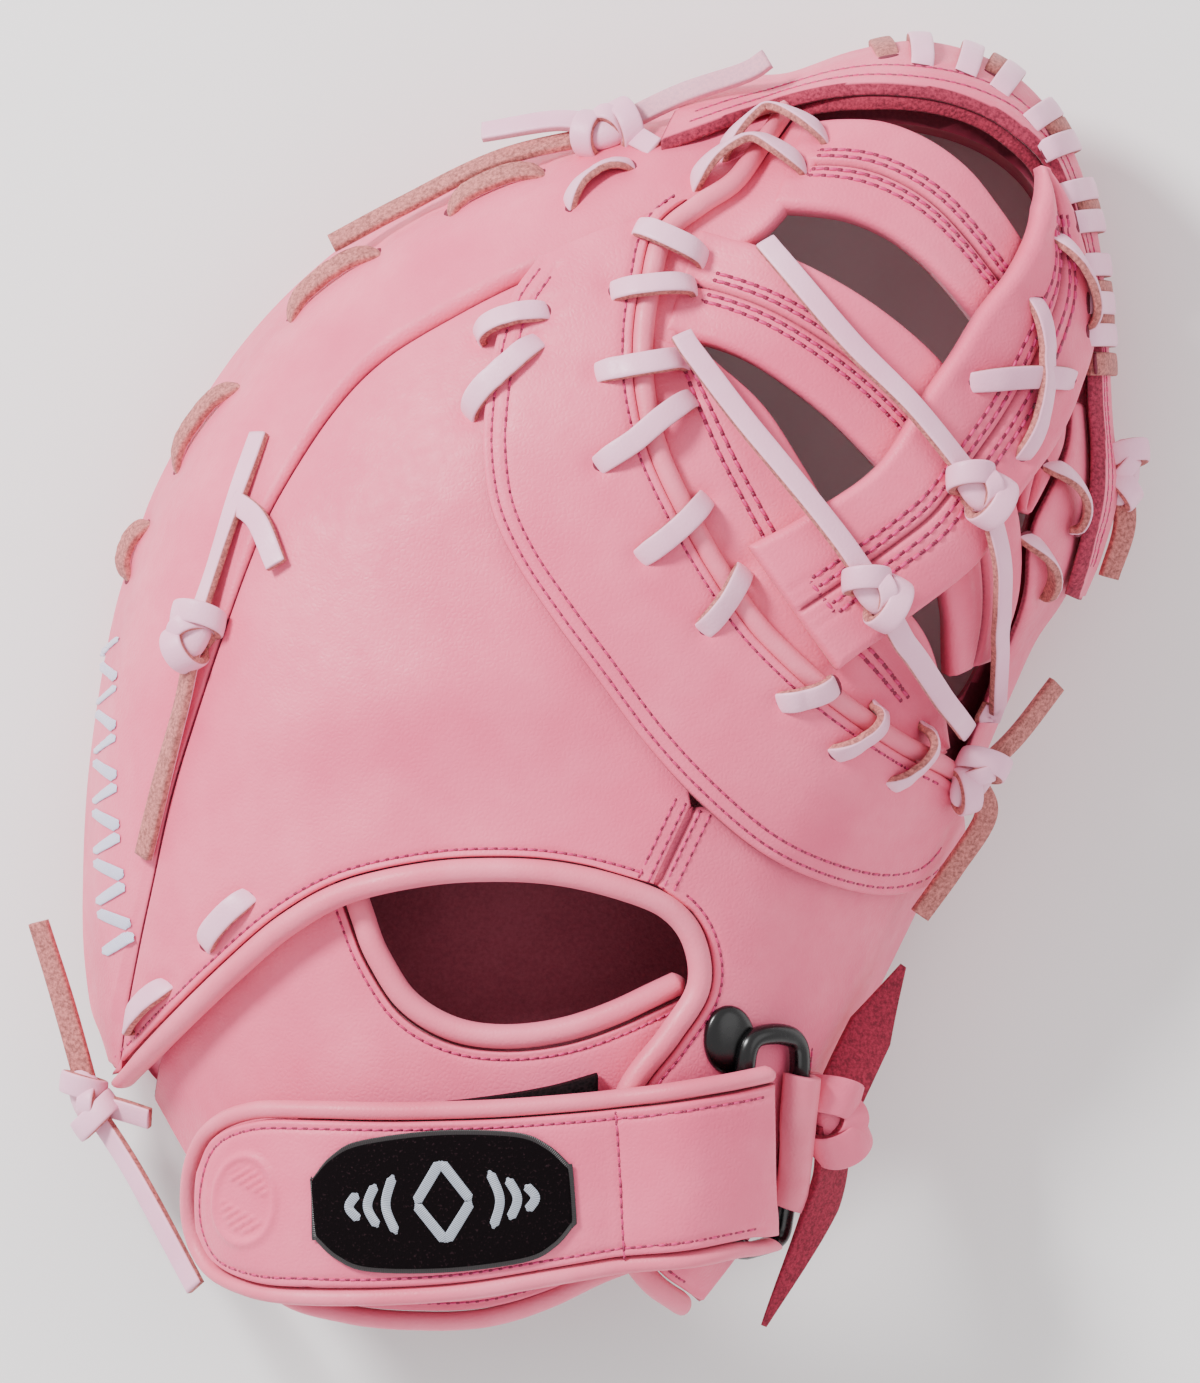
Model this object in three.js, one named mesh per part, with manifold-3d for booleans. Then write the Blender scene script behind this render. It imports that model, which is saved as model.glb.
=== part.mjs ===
// First baseman mitt for the left hand, in millimetres. It lies palm down: the pocket's lip is flat on the
// floor at z = 0, the back of the hand faces up (+Z) and the fingertips point to +Y. The thumb and the web
// are at +X.
// Every shape is set out in plan as shares of the mitt's width and length, and is then lifted onto one domed
// back surface, whose height is a share of the back's rise.
import * as THREE from "three";
import Module from "manifold-3d";

const kernel = await Module();
kernel.setup();

// Overall sizes
const mittWidth = 272; // widest reach across, knots included
const mittLength = 321; // heel to the top of the web
const backRise = 100; // height of the back's crown over the floor

// Leather and laces
const leather = 2.6; // one layer of shell leather
const webThickness = 5; // folded and stitched web bars
const laceWidth = 5.7;
const laceThickness = 2.2;
const weltRadius = 2.6; // rolled welt between the side panel and the web
const bindingRadius = 3; // rolled binding of the hand opening
const wristBindingRadius = 2.4; // rolled binding at the wrist

// Wrist strap and its ring
const strapThickness = 4;
const strapBindingRadius = 2.2;
const patchLength = 60;
const patchHeight = 32;
const patchThickness = 1;
const patchTurn = 0.06; // radians
const ringBarRadius = 2.6;
const tabThickness = 2.2;
const linerShow = 2; // how far the top band's second layer shows at its inner edge

// Palm
const palmLip = 10; // width of the flat lip that lies on the floor
const knotSize = 11.5; // tied knot across

// Clearances, tied to one fit
const fit = 0.3;
const seam = 0.5; // open seam between two panels laid edge to edge
const clearance = fit * 3; // between the curved shell and the palm under it

// Levels over the back surface, each tied to the layers under it
const bindingLift = -leather / 2;
const wristLift = -leather / 2 - bindingRadius * 2 - fit * 3; // middle of the wrist panel
const overlayLift = fit * 4; // underside of a panel laid over another
const overlay = overlayLift + leather;
const strapLift = bindingLift + bindingRadius + fit; // underside of the strap
const ringLift = fit * 2 + ringBarRadius; // middle of the ring's bar
const postLift = fit * 4; // underside of the post, which runs over both bars
const weltLift = weltRadius - 0.6;
const shoulder = 0.93; // share of the way out past which loose ends stand clear of the shell

// The hub of the back surface and the edge it runs out to, as [across, along] in shares of width and length
const hub = [-0.023, 0.033];
// Outline of the back seen from above, closed
const outline = [
  [-0.437, -0.311], [-0.455, -0.234], [-0.462, -0.166], [-0.457, -0.059], [-0.432, 0.063],
  [-0.392, 0.163], [-0.320, 0.262], [-0.230, 0.338], [-0.122, 0.395], [-0.023, 0.428],
  [0.059, 0.449], [0.140, 0.465], [0.194, 0.468], [0.252, 0.486], [0.311, 0.492],
  [0.374, 0.476], [0.423, 0.439], [0.451, 0.388], [0.467, 0.331], [0.474, 0.262],
  [0.478, 0.201], [0.484, 0.151], [0.469, 0.103], [0.444, 0.062], [0.419, 0.031],
  [0.396, -0.011], [0.377, -0.047], [0.360, -0.083], [0.341, -0.121], [0.306, -0.181],
  [0.270, -0.242], [0.239, -0.295], [0.205, -0.353], [0.162, -0.418], [0.099, -0.483],
  [0.014, -0.495], [-0.095, -0.500], [-0.221, -0.499], [-0.291, -0.477], [-0.342, -0.425],
  [-0.392, -0.364],
];
// Seam between the two finger panels, from the heel to the web
const fingerSeam = [
  [-0.423, -0.300], [-0.415, -0.257], [-0.403, -0.204], [-0.388, -0.150], [-0.372, -0.089],
  [-0.350, -0.028], [-0.327, 0.033], [-0.302, 0.094], [-0.277, 0.142], [-0.231, 0.206],
  [-0.182, 0.250], [-0.114, 0.285], [-0.048, 0.311], [0.014, 0.331], [0.072, 0.352],
  [0.135, 0.376],
];
// Outer edge of the finger side panel
const fingerRim = [
  [-0.435, -0.294], [-0.453, -0.234], [-0.459, -0.166], [-0.454, -0.059], [-0.430, 0.063],
  [-0.389, 0.162], [-0.318, 0.260], [-0.228, 0.337], [-0.120, 0.394], [-0.021, 0.427],
  [0.059, 0.447], [0.135, 0.461], [0.205, 0.465],
];
// Edge of the back under the side panel, up to the web
const backUnder = [
  [0.089, -0.059], [0.059, -0.013], [0.023, 0.037], [-0.009, 0.086], [-0.030, 0.140],
  [-0.036, 0.193], [-0.026, 0.247], [0.003, 0.289], [0.035, 0.318], [0.065, 0.347],
];
// Stitched edge of the side panel over the back
const sidePanelEdge = [
  [-0.036, 0.318], [-0.061, 0.289], [-0.076, 0.254], [-0.085, 0.212], [-0.088, 0.173],
  [-0.082, 0.131], [-0.061, 0.091], [-0.027, 0.047], [0.014, 0.000], [0.055, -0.047],
  [0.100, -0.089], [0.151, -0.126], [0.203, -0.147], [0.255, -0.158], [0.297, -0.152],
  [0.322, -0.134], [0.334, -0.112],
];
// Rolled welt along the web
const welt = [
  [0.186, 0.436], [0.162, 0.407], [0.135, 0.378], [0.104, 0.360], [0.071, 0.336],
  [0.059, 0.296], [0.052, 0.254], [0.055, 0.212], [0.068, 0.170], [0.090, 0.128],
  [0.117, 0.086], [0.150, 0.047], [0.191, 0.011], [0.234, -0.019], [0.277, -0.044],
  [0.315, -0.060], [0.338, -0.074],
];
// Seam between the back and the thumb panel, up from the hand opening
const thumbSeam = [
  [0.063, -0.153], [0.096, -0.094],
];
// Outer edge of the thumb panel
const thumbWristRim = [
  [0.349, -0.093], [0.338, -0.121], [0.305, -0.181], [0.268, -0.242], [0.237, -0.295],
  [0.203, -0.353], [0.159, -0.416], [0.107, -0.474],
];
// Edge of the thumb's web panel at the web
const thumbWebEdge = [
  [0.446, 0.216], [0.442, 0.185], [0.432, 0.161], [0.419, 0.139], [0.409, 0.121],
  [0.404, 0.100], [0.402, 0.065], [0.391, 0.031], [0.378, 0.007], [0.367, -0.022],
  [0.353, -0.051], [0.345, -0.082],
];
// Outer edge of the thumb's web panel
const thumbRim = [
  [0.471, 0.216], [0.475, 0.185], [0.478, 0.151], [0.464, 0.105], [0.440, 0.063],
  [0.415, 0.033], [0.393, -0.009], [0.374, -0.046], [0.358, -0.082],
];
// Inner edge of the web's top band
const topBandInner = [
  [0.068, 0.407], [0.104, 0.418], [0.144, 0.432], [0.194, 0.444], [0.239, 0.450],
  [0.284, 0.450], [0.324, 0.446], [0.360, 0.435], [0.387, 0.421], [0.414, 0.399],
  [0.430, 0.369], [0.441, 0.331], [0.451, 0.292], [0.457, 0.254], [0.458, 0.216],
  [0.460, 0.185], [0.459, 0.155], [0.455, 0.124], [0.446, 0.094], [0.439, 0.069],
];
// Outer edge of the web's top band
const topBandOuter = [
  [0.100, 0.450], [0.140, 0.457], [0.192, 0.460], [0.255, 0.477], [0.311, 0.483],
  [0.370, 0.467], [0.414, 0.432], [0.441, 0.383], [0.456, 0.329], [0.463, 0.261],
  [0.468, 0.201], [0.473, 0.151], [0.460, 0.107], [0.444, 0.072],
];
// Upper web bar, the edge at the top band
const barTopOuter = [
  [0.194, 0.430], [0.230, 0.433], [0.270, 0.430], [0.311, 0.416], [0.347, 0.393],
  [0.374, 0.365], [0.396, 0.338], [0.419, 0.311], [0.435, 0.285], [0.441, 0.254],
  [0.440, 0.216], [0.437, 0.185], [0.426, 0.163], [0.414, 0.142], [0.405, 0.127],
];
// Upper web bar, the other edge
const barTopInner = [
  [0.165, 0.363], [0.203, 0.360], [0.239, 0.353], [0.275, 0.340], [0.306, 0.319],
  [0.333, 0.295], [0.356, 0.273], [0.374, 0.253], [0.387, 0.227], [0.395, 0.197],
  [0.397, 0.170], [0.395, 0.147], [0.397, 0.131],
];
// Lower web bar, the edge at the upper bar
const barLowOuter = [
  [0.100, 0.347], [0.144, 0.336], [0.185, 0.323], [0.225, 0.305], [0.266, 0.283],
  [0.306, 0.256], [0.338, 0.227], [0.360, 0.197], [0.377, 0.170], [0.386, 0.147],
  [0.393, 0.127], [0.396, 0.102], [0.395, 0.066], [0.384, 0.033], [0.374, 0.016],
];
// Lower web bar, the other edge
const barLowInner = [
  [0.068, 0.266], [0.108, 0.258], [0.144, 0.245], [0.180, 0.226], [0.216, 0.202],
  [0.248, 0.176], [0.275, 0.151], [0.297, 0.124], [0.315, 0.094], [0.325, 0.063],
  [0.331, 0.033], [0.334, 0.002],
];
// Free edge of the web's base
const webBaseFree = [
  [0.114, 0.245], [0.159, 0.210], [0.196, 0.163], [0.234, 0.109], [0.275, 0.069],
  [0.309, 0.033], [0.324, -0.005], [0.329, -0.028], [0.333, -0.051],
];
// Web post, left edge from the top band to the free end
const postLeft = [
  [0.395, 0.392], [0.397, 0.369], [0.392, 0.342], [0.374, 0.311], [0.347, 0.281],
  [0.323, 0.249], [0.297, 0.216], [0.257, 0.163], [0.194, 0.126], [0.144, 0.103],
];
// Web post, right edge
const postRight = [
  [0.410, 0.389], [0.423, 0.365], [0.434, 0.331], [0.446, 0.292], [0.443, 0.258],
  [0.427, 0.212], [0.406, 0.174], [0.378, 0.140], [0.360, 0.117], [0.336, 0.089],
  [0.284, 0.054], [0.221, 0.011],
];
// Opening in the palm under the web, closed
const webWindow = [
  [0.194, 0.407], [0.257, 0.428], [0.320, 0.425], [0.374, 0.407], [0.410, 0.376],
  [0.426, 0.331], [0.432, 0.269], [0.423, 0.201], [0.405, 0.140], [0.385, 0.079],
  [0.360, 0.018], [0.329, -0.017], [0.275, 0.010], [0.225, 0.048], [0.176, 0.098],
  [0.131, 0.155], [0.095, 0.216], [0.095, 0.277], [0.117, 0.331], [0.158, 0.373],
];
// Upper edge of the wrist panel under the back, up to its cut-out
const wristTop = [
  [-0.410, -0.302], [-0.378, -0.257], [-0.327, -0.208], [-0.270, -0.169], [-0.233, -0.146],
];
// Side edge of the wrist panel at the heel
const wristBottom = [
  [-0.415, -0.327], [-0.392, -0.360], [-0.354, -0.410],
];
// Bound edge of the hand opening
const openingEdge = [
  [-0.426, -0.311], [-0.376, -0.266], [-0.315, -0.218], [-0.266, -0.182], [-0.212, -0.158],
  [-0.140, -0.144], [-0.077, -0.141], [-0.023, -0.144], [0.032, -0.155], [0.075, -0.170],
  [0.098, -0.195], [0.103, -0.231], [0.077, -0.266], [0.041, -0.307], [0.024, -0.356],
  [0.033, -0.418], [0.059, -0.454], [0.093, -0.477],
];
// Bound edge of the wrist panel's cut-out
const cutoutEdge = [
  [-0.216, -0.153], [-0.208, -0.177], [-0.194, -0.208], [-0.165, -0.242], [-0.123, -0.263],
  [-0.077, -0.270], [-0.023, -0.266], [0.032, -0.252], [0.098, -0.228],
];
// Bound lower edge of the wrist panel
const wristEdge = [
  [-0.342, -0.424], [-0.291, -0.474], [-0.221, -0.492], [-0.149, -0.495], [-0.086, -0.492],
  [-0.023, -0.477], [0.032, -0.456], [0.063, -0.444],
];
// Upper edge of the strap from its round end
const strapTop = [
  [-0.333, -0.372], [-0.318, -0.343], [-0.282, -0.331], [-0.230, -0.330], [-0.149, -0.330],
  [-0.059, -0.327], [0.032, -0.319], [0.095, -0.308], [0.147, -0.297],
];
// Lower edge of the strap
const strapBottom = [
  [-0.333, -0.411], [-0.318, -0.437], [-0.287, -0.449], [-0.239, -0.453], [-0.167, -0.453],
  [-0.095, -0.448], [-0.014, -0.436], [0.068, -0.422], [0.141, -0.408],
];
// Bound edge of the strap
const strapEdge = [
  [0.149, -0.289], [0.095, -0.300], [0.032, -0.311], [-0.059, -0.319], [-0.149, -0.322],
  [-0.239, -0.322], [-0.291, -0.324], [-0.325, -0.338], [-0.341, -0.368], [-0.342, -0.411],
  [-0.325, -0.444], [-0.291, -0.456], [-0.239, -0.460], [-0.167, -0.460], [-0.095, -0.456],
  [-0.014, -0.444], [0.068, -0.430], [0.144, -0.415],
];
// Upper edge of the fastener pad under the strap
const padTop = [
  [-0.291, -0.335], [-0.221, -0.326], [-0.104, -0.316], [-0.036, -0.307], [0.012, -0.296],
];
// Lower edge of the fastener pad
const padBottom = [
  [-0.291, -0.442], [-0.221, -0.447], [-0.104, -0.442], [-0.036, -0.433], [0.012, -0.424],
];
// Middle of the ring's bar, closed
const ringPath = [
  [0.135, -0.341], [0.136, -0.295], [0.141, -0.271], [0.159, -0.265], [0.179, -0.269],
  [0.184, -0.289], [0.177, -0.341], [0.170, -0.398], [0.165, -0.421], [0.149, -0.427],
  [0.129, -0.425], [0.124, -0.402],
];
// The tab's fold along the ring
const tabPath = [
  [0.183, -0.297], [0.179, -0.334], [0.174, -0.372], [0.171, -0.395],
];

// Lace stitches. Columns: from across, from along, from lift, to across, to along, to lift, crest,
// place of the crest. The lifts are in lace thicknesses over the back surface.
// Heel lace
const heelStitches = [
  [-0.342, -0.200, 0.78, -0.302, -0.162, 0.78, 1.05, 0.5],
  [-0.414, -0.265, 0.78, -0.378, -0.231, 0.78, 1.05, 0.5],
];
// Lace along the finger rim
const rimStitches = [
  [-0.419, 0.082, 0.78, -0.400, 0.123, 0.78, 1.05, 0.5],
  [-0.372, 0.164, 0.78, -0.314, 0.227, 0.78, 1.05, 0.5],
  [-0.266, 0.279, 0.78, -0.186, 0.327, 0.78, 1.05, 0.5],
  [-0.120, 0.358, 0.78, -0.038, 0.387, 0.78, 1.05, 0.5],
];
// Lace at the finger tips
const tipStitches = [
  [-0.014, 0.363, 0.78, 0.042, 0.392, 0.78, 1.05, 0.5],
];
// Lace from the back to the side panel
const indexStitches = [
  [-0.095, 0.262, 0.78, -0.032, 0.277, 2.35, 2.45, 0.7],
  [-0.039, 0.254, 2.35, -0.104, 0.204, 0.78, 2.45, 0.3],
];
// Lace over the welt, side panel to web
const webStitches = [
  [0.050, 0.340, 2.35, 0.105, 0.321, 0.78, 3.15, 0.35],
  [0.027, 0.292, 2.35, 0.096, 0.300, 0.78, 3.15, 0.46],
  [0.014, 0.231, 2.35, 0.089, 0.244, 0.78, 3.15, 0.51],
  [0.014, 0.163, 2.35, 0.095, 0.215, 0.78, 3.15, 0.57],
  [0.050, 0.094, 2.35, 0.107, 0.138, 0.78, 3.15, 0.73],
  [0.104, 0.040, 2.35, 0.141, 0.085, 0.78, 3.15, 0.67],
  [0.171, -0.013, 2.35, 0.217, 0.001, 0.78, 3.15, 0.8],
  [0.216, -0.051, 2.35, 0.262, -0.019, 0.78, 3.15, 0.72],
  [0.266, -0.074, 2.35, 0.307, -0.034, 0.78, 3.15, 0.61],
];
// Lace over the welt, finger panel to upper bar
const fingerWebStitches = [
  [0.123, 0.402, 0.78, 0.214, 0.416, 0.78, 3.15, 0.44],
  [0.098, 0.379, 0.78, 0.194, 0.393, 0.78, 3.15, 0.48],
];
// Lace through the post
const postStitches = [
  [0.412, 0.337, 3.6, 0.439, 0.271, 3.6, 3.75, 0.5],
  [0.390, 0.290, 3.6, 0.379, 0.170, 3.6, 4.95, 0.5],
  [0.335, 0.227, 3.6, 0.423, 0.231, 3.6, 3.65, 0.5],
];
// Lace from the web to the thumb
const thumbStitches = [
  [0.421, 0.166, 0.78, 0.441, 0.118, 0.78, 1.2, 0.5],
  [0.401, 0.109, 0.78, 0.417, 0.066, 0.78, 1.2, 0.5],
];
// The patch on the strap. Columns: place along it and its half width there, in shares of its length
// and height.
const patchHalves = [
  [-0.5, 0.2], [-0.42, 0.36], [-0.3, 0.46], [0, 0.5], [0.3, 0.46], [0.42, 0.36], [0.5, 0.2],
];
const patchSpot = [-0.124, -0.389];
// Places of the stitches over the web's rim, as shares of the top band's length
const bandPlaces = [0.42, 0.48, 0.54, 0.6, 0.66, 0.72];

// Knots. Columns: across, along, lift in lace thicknesses, turn in radians.
const knots = {
  top: [0.020, 0.422, 2.45, 0.3],
  pinky: [-0.340, 0.034, 2.35, 1.1],
  postUpper: [0.331, 0.144, 5.2, -0.8],
  postLower: [0.250, 0.073, 5.2, -0.8],
  thumb: [0.350, -0.073, 5.2, 0.8],
  heel: [-0.451, -0.321, -8.6, -1.1],
  crest: [0.488, 0.163, -9.6, 1.4],
  wide: [0.224, -0.331, 0.8, -1.2],
};
// Their loose ends. Columns: across, along, lift in lace thicknesses.
const topEnds = [
  [[0.020, 0.424, 2], [-0.023, 0.431, 1.4], [-0.093, 0.422, 1]],
  [[0.020, 0.421, 2], [-0.077, 0.402, 1], [-0.167, 0.366, 0.9], [-0.230, 0.337, 0.9]],
  [[0.023, 0.424, 2], [0.086, 0.450, 1.1], [0.144, 0.466, 1.2], [0.165, 0.477, 1.4]],
  [[0.023, 0.421, 2], [0.066, 0.402, 0.9]],
];
const pinkyEnds = [
  [[-0.340, 0.039, 2], [-0.327, 0.082, 1.2], [-0.307, 0.140, 1], [-0.288, 0.187, 1]],
  [[-0.340, 0.029, 2], [-0.354, -0.013, 1.1], [-0.374, -0.074, 1], [-0.391, -0.132, 1]],
  [[-0.309, 0.136, 1], [-0.287, 0.121, 1.2], [-0.271, 0.088, 1.1]],
];
const postUpperEnds = [
  [[0.329, 0.146, 5.1], [0.284, 0.207, 4.1], [0.234, 0.254, 2.7], [0.162, 0.331, 1.1]],
  [[0.333, 0.141, 5.1], [0.354, 0.094, 3.7], [0.361, 0.040, 2], [0.360, -0.030, 1.7]],
];
const postLowerEnds = [
  [[0.248, 0.075, 5.1], [0.194, 0.140, 4.2], [0.140, 0.197, 2.8], [0.087, 0.257, 2.8]],
  [[0.251, 0.071, 5.1], [0.282, 0.024, 3.6], [0.327, -0.030, 2.6]],
];
const thumbEnds = [
  [[0.350, -0.071, 5], [0.387, -0.042, 3.2], [0.426, -0.001, 2]],
  [[0.350, -0.074, 5], [0.362, -0.101, 2.6], [0.333, -0.141, 1.4], [0.303, -0.178, 1.2]],
];
const heelEnds = [
  [[-0.451, -0.318, -8.6], [-0.477, -0.242, -7], [-0.497, -0.184, -6]],
  [[-0.451, -0.324, -8.6], [-0.408, -0.379, -9], [-0.352, -0.463, -9.5]],
  [[-0.450, -0.323, -8.6], [-0.421, -0.329, -8.2], [-0.395, -0.335, -8]],
];
const crestEnds = [
  [[0.487, 0.160, -9.6], [0.491, 0.121, -10], [0.477, 0.082, -10]],
];
const wideEnds = [
  [[0.223, -0.327, 0.8], [0.250, -0.280, 0], [0.288, -0.217, -1]],
  [[0.224, -0.334, 0.4], [0.215, -0.395, -5], [0.161, -0.492, -9]],
];


// Height of the back surface. Columns: turn in degrees from +X, then the height in shares of the rise
// at 0.35, 0.6, 0.8, 0.92 and all of the way from the hub to the edge.
const spokeReach = [0, 0.35, 0.6, 0.8, 0.92, 1];
const spokes = [
  [0, 0.97, 0.92, 0.76, 0.52, 0.12], [22.5, 0.97, 0.92, 0.76, 0.56, 0.18],
  [45, 0.98, 0.92, 0.8, 0.62, 0.3], [67.5, 0.97, 0.9, 0.78, 0.58, 0.25],
  [90, 0.96, 0.88, 0.74, 0.52, 0.18], [112.5, 0.95, 0.84, 0.66, 0.44, 0.14],
  [135, 0.95, 0.82, 0.64, 0.42, 0.12], [157.5, 0.95, 0.84, 0.66, 0.44, 0.12],
  [180, 0.95, 0.85, 0.67, 0.45, 0.12], [202.5, 0.96, 0.86, 0.68, 0.46, 0.14],
  [225, 0.96, 0.86, 0.7, 0.5, 0.22], [247.5, 0.96, 0.9, 0.84, 0.78, 0.68],
  [270, 0.97, 0.92, 0.88, 0.84, 0.78], [292.5, 0.97, 0.9, 0.8, 0.68, 0.45],
  [315, 0.97, 0.88, 0.7, 0.5, 0.14], [337.5, 0.97, 0.9, 0.72, 0.5, 0.12],
];

// Palm under the back. Columns: share of the way out, then the height of its upper and lower face
// in shares of the rise.
const palmDepth = [[0, 0.6, 0.52], [0.35, 0.58, 0.5], [0.6, 0.52, 0.42], [0.8, 0.44, 0.24]];
// Its edge. Columns: turn in degrees, reach in shares of the way out, most height in shares of the rise.
const palmEdge = [
  [0, 1, 0.4], [22.5, 1, 0.4], [45, 1, 0.4], [67.5, 0.98, 0.4], [90, 1, 0.4], [112.5, 1, 0.4], [135, 1, 0.4],
  [157.5, 1, 0.4], [180, 1, 0.4], [202.5, 0.995, 0.24], [225, 0.955, 0.08], [247.5, 0.9, 0.14],
  [270, 0.86, 0.16], [292.5, 0.86, 0.18], [315, 0.95, 0.3], [337.5, 1, 0.4],
];

const place = ([across, along]) => new THREE.Vector2(across * mittWidth, along * mittLength);
const wave = (rows, closed) => new THREE.CatmullRomCurve3(
  rows.map(place).map((p) => new THREE.Vector3(p.x, p.y, 0)), closed, "catmullrom", 0.5);

// Points at equal distances along a table's curve, between two shares of its length
function run(rows, count, from = 0, to = 1) {
  const curve = wave(rows, false);
  return Array.from({ length: count + 1 }, (_, i) => {
    const p = curve.getPointAt(from + ((to - from) * i) / count);
    return new THREE.Vector2(p.x, p.y);
  });
}

// The same points moved sideways in plan, to the left of the way they run
function shifted(points, distance) {
  return points.map((p, i) => {
    const last = points.length - 1;
    const way = points[Math.min(i + 1, last)].clone().sub(points[Math.max(i - 1, 0)]).normalize();
    return new THREE.Vector2(p.x - way.y * distance, p.y + way.x * distance);
  });
}

const centre = place(hub);
const rimTurns = wave(outline, true).getSpacedPoints(420).slice(0, -1).map((p) => {
  const x = p.x - centre.x, y = p.y - centre.y;
  return [(Math.atan2(y, x) + 2 * Math.PI) % (2 * Math.PI), Math.hypot(x, y)];
}).sort((a, b) => a[0] - b[0]);

// Distance from the hub to the outline in one direction
function rimRadius(turn) {
  const t = (turn + 4 * Math.PI) % (2 * Math.PI);
  const next = rimTurns.findIndex(([angle]) => angle > t);
  const b = rimTurns[next < 0 ? 0 : next];
  const a = rimTurns.at((next < 0 ? 0 : next) - 1);
  const span = (b[0] - a[0] + 2 * Math.PI) % (2 * Math.PI);
  const part = ((t - a[0] + 2 * Math.PI) % (2 * Math.PI)) / span;
  return a[1] + (b[1] - a[1]) * part;
}

// A column of a table of spokes, smoothly between its spokes
function roundTable(rows, turn, column) {
  const step = (turn / (2 * Math.PI)) * rows.length;
  const i = Math.floor(step);
  const f = step - i;
  const around = (k) => (((i + k) % rows.length) + rows.length) % rows.length;
  const [a, b, c, d] = [-1, 0, 1, 2].map((k) => rows[around(k)][column]);
  return b + (f / 2) * (c - a + f * (2 * a - 5 * b + 4 * c - d + f * (3 * (b - c) + d - a)));
}

// Height of the back surface over a point of the plan
function heightAt(x, y) {
  const turn = (Math.atan2(y - centre.y, x - centre.x) + 2 * Math.PI) % (2 * Math.PI);
  const reach = Math.hypot(x - centre.x, y - centre.y) / rimRadius(turn);
  const heights = [1, ...[1, 2, 3, 4, 5].map((column) => roundTable(spokes, turn, column))];
  const last = heights.length - 1;
  const rate = heights.slice(1).map((h, i) => (h - heights[i]) / (spokeReach[i + 1] - spokeReach[i]));
  const slope = heights.map((_, i) => {
    if (i === 0) return 0;
    if (i === last) return rate[last - 1];
    return rate[i - 1] * rate[i] <= 0 ? 0 : (2 * rate[i - 1] * rate[i]) / (rate[i - 1] + rate[i]);
  });
  if (reach >= 1) return backRise * (heights[last] + slope[last] * (reach - 1));
  const i = spokeReach.findIndex((r) => r > reach) - 1;
  const h = spokeReach[i + 1] - spokeReach[i];
  const f = (reach - spokeReach[i]) / h;
  return backRise * (
    heights[i] * (1 + 2 * f) * (1 - f) ** 2 + heights[i + 1] * f * f * (3 - 2 * f) +
    h * slope[i] * f * (1 - f) ** 2 + h * slope[i + 1] * f * f * (f - 1));
}

// Outward direction of the back surface over a point of the plan
function facing(p) {
  const d = 1.5;
  return new THREE.Vector3(
    (heightAt(p.x - d, p.y) - heightAt(p.x + d, p.y)) / (2 * d),
    (heightAt(p.x, p.y - d) - heightAt(p.x, p.y + d)) / (2 * d), 1).normalize();
}

// A point of the plan lifted onto the back surface and then out of it
const skin = (p, lift) => new THREE.Vector3(p.x, p.y, heightAt(p.x, p.y)).addScaledVector(facing(p), lift);

// One closed body from points and triangles, turned to face out
function body(points, faces) {
  const make = (list) => new kernel.Manifold(new kernel.Mesh({
    numProp: 3,
    vertProperties: new Float32Array(points.flatMap((p) => [p.x, p.y, p.z])),
    triVerts: new Uint32Array(list.flat()),
  }));
  const made = make(faces);
  return made.volume() > 0 ? made : make(faces.map(([a, b, c]) => [a, c, b]));
}

// A leather panel between two edges in plan, closed between its upper and its lower level
function panel(edgeA, edgeB, rows, top, under, ease = 1) {
  const count = edgeA.length;
  const share = (j) => 1 - (1 - j / rows) ** ease; // rows stand closer towards edgeB when it is over 1
  const level = (lift, share) => (typeof lift === "function" ? lift(share) : lift);
  const points = [];
  for (const lift of [top, under])
    for (let j = 0; j <= rows; j++)
      for (let i = 0; i < count; i++)
        points.push(skin(edgeA[i].clone().lerp(edgeB[i], share(j)), level(lift, i / (count - 1))));
  const at = (side, j, i) => (side * (rows + 1) + j) * count + i;
  const faces = [];
  const quad = (a, b, c, d) => faces.push([a, b, c], [a, c, d]);
  for (let j = 0; j < rows; j++)
    for (let i = 0; i < count - 1; i++) {
      quad(at(0, j, i), at(0, j, i + 1), at(0, j + 1, i + 1), at(0, j + 1, i));
      quad(at(1, j, i), at(1, j + 1, i), at(1, j + 1, i + 1), at(1, j, i + 1));
    }
  for (let i = 0; i < count - 1; i++) {
    quad(at(0, 0, i), at(1, 0, i), at(1, 0, i + 1), at(0, 0, i + 1));
    quad(at(0, rows, i), at(0, rows, i + 1), at(1, rows, i + 1), at(1, rows, i));
  }
  for (let j = 0; j < rows; j++) {
    quad(at(0, j, 0), at(0, j + 1, 0), at(1, j + 1, 0), at(1, j, 0));
    quad(at(0, j, count - 1), at(1, j, count - 1), at(1, j + 1, count - 1), at(0, j + 1, count - 1));
  }
  return body(points, faces);
}

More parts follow.
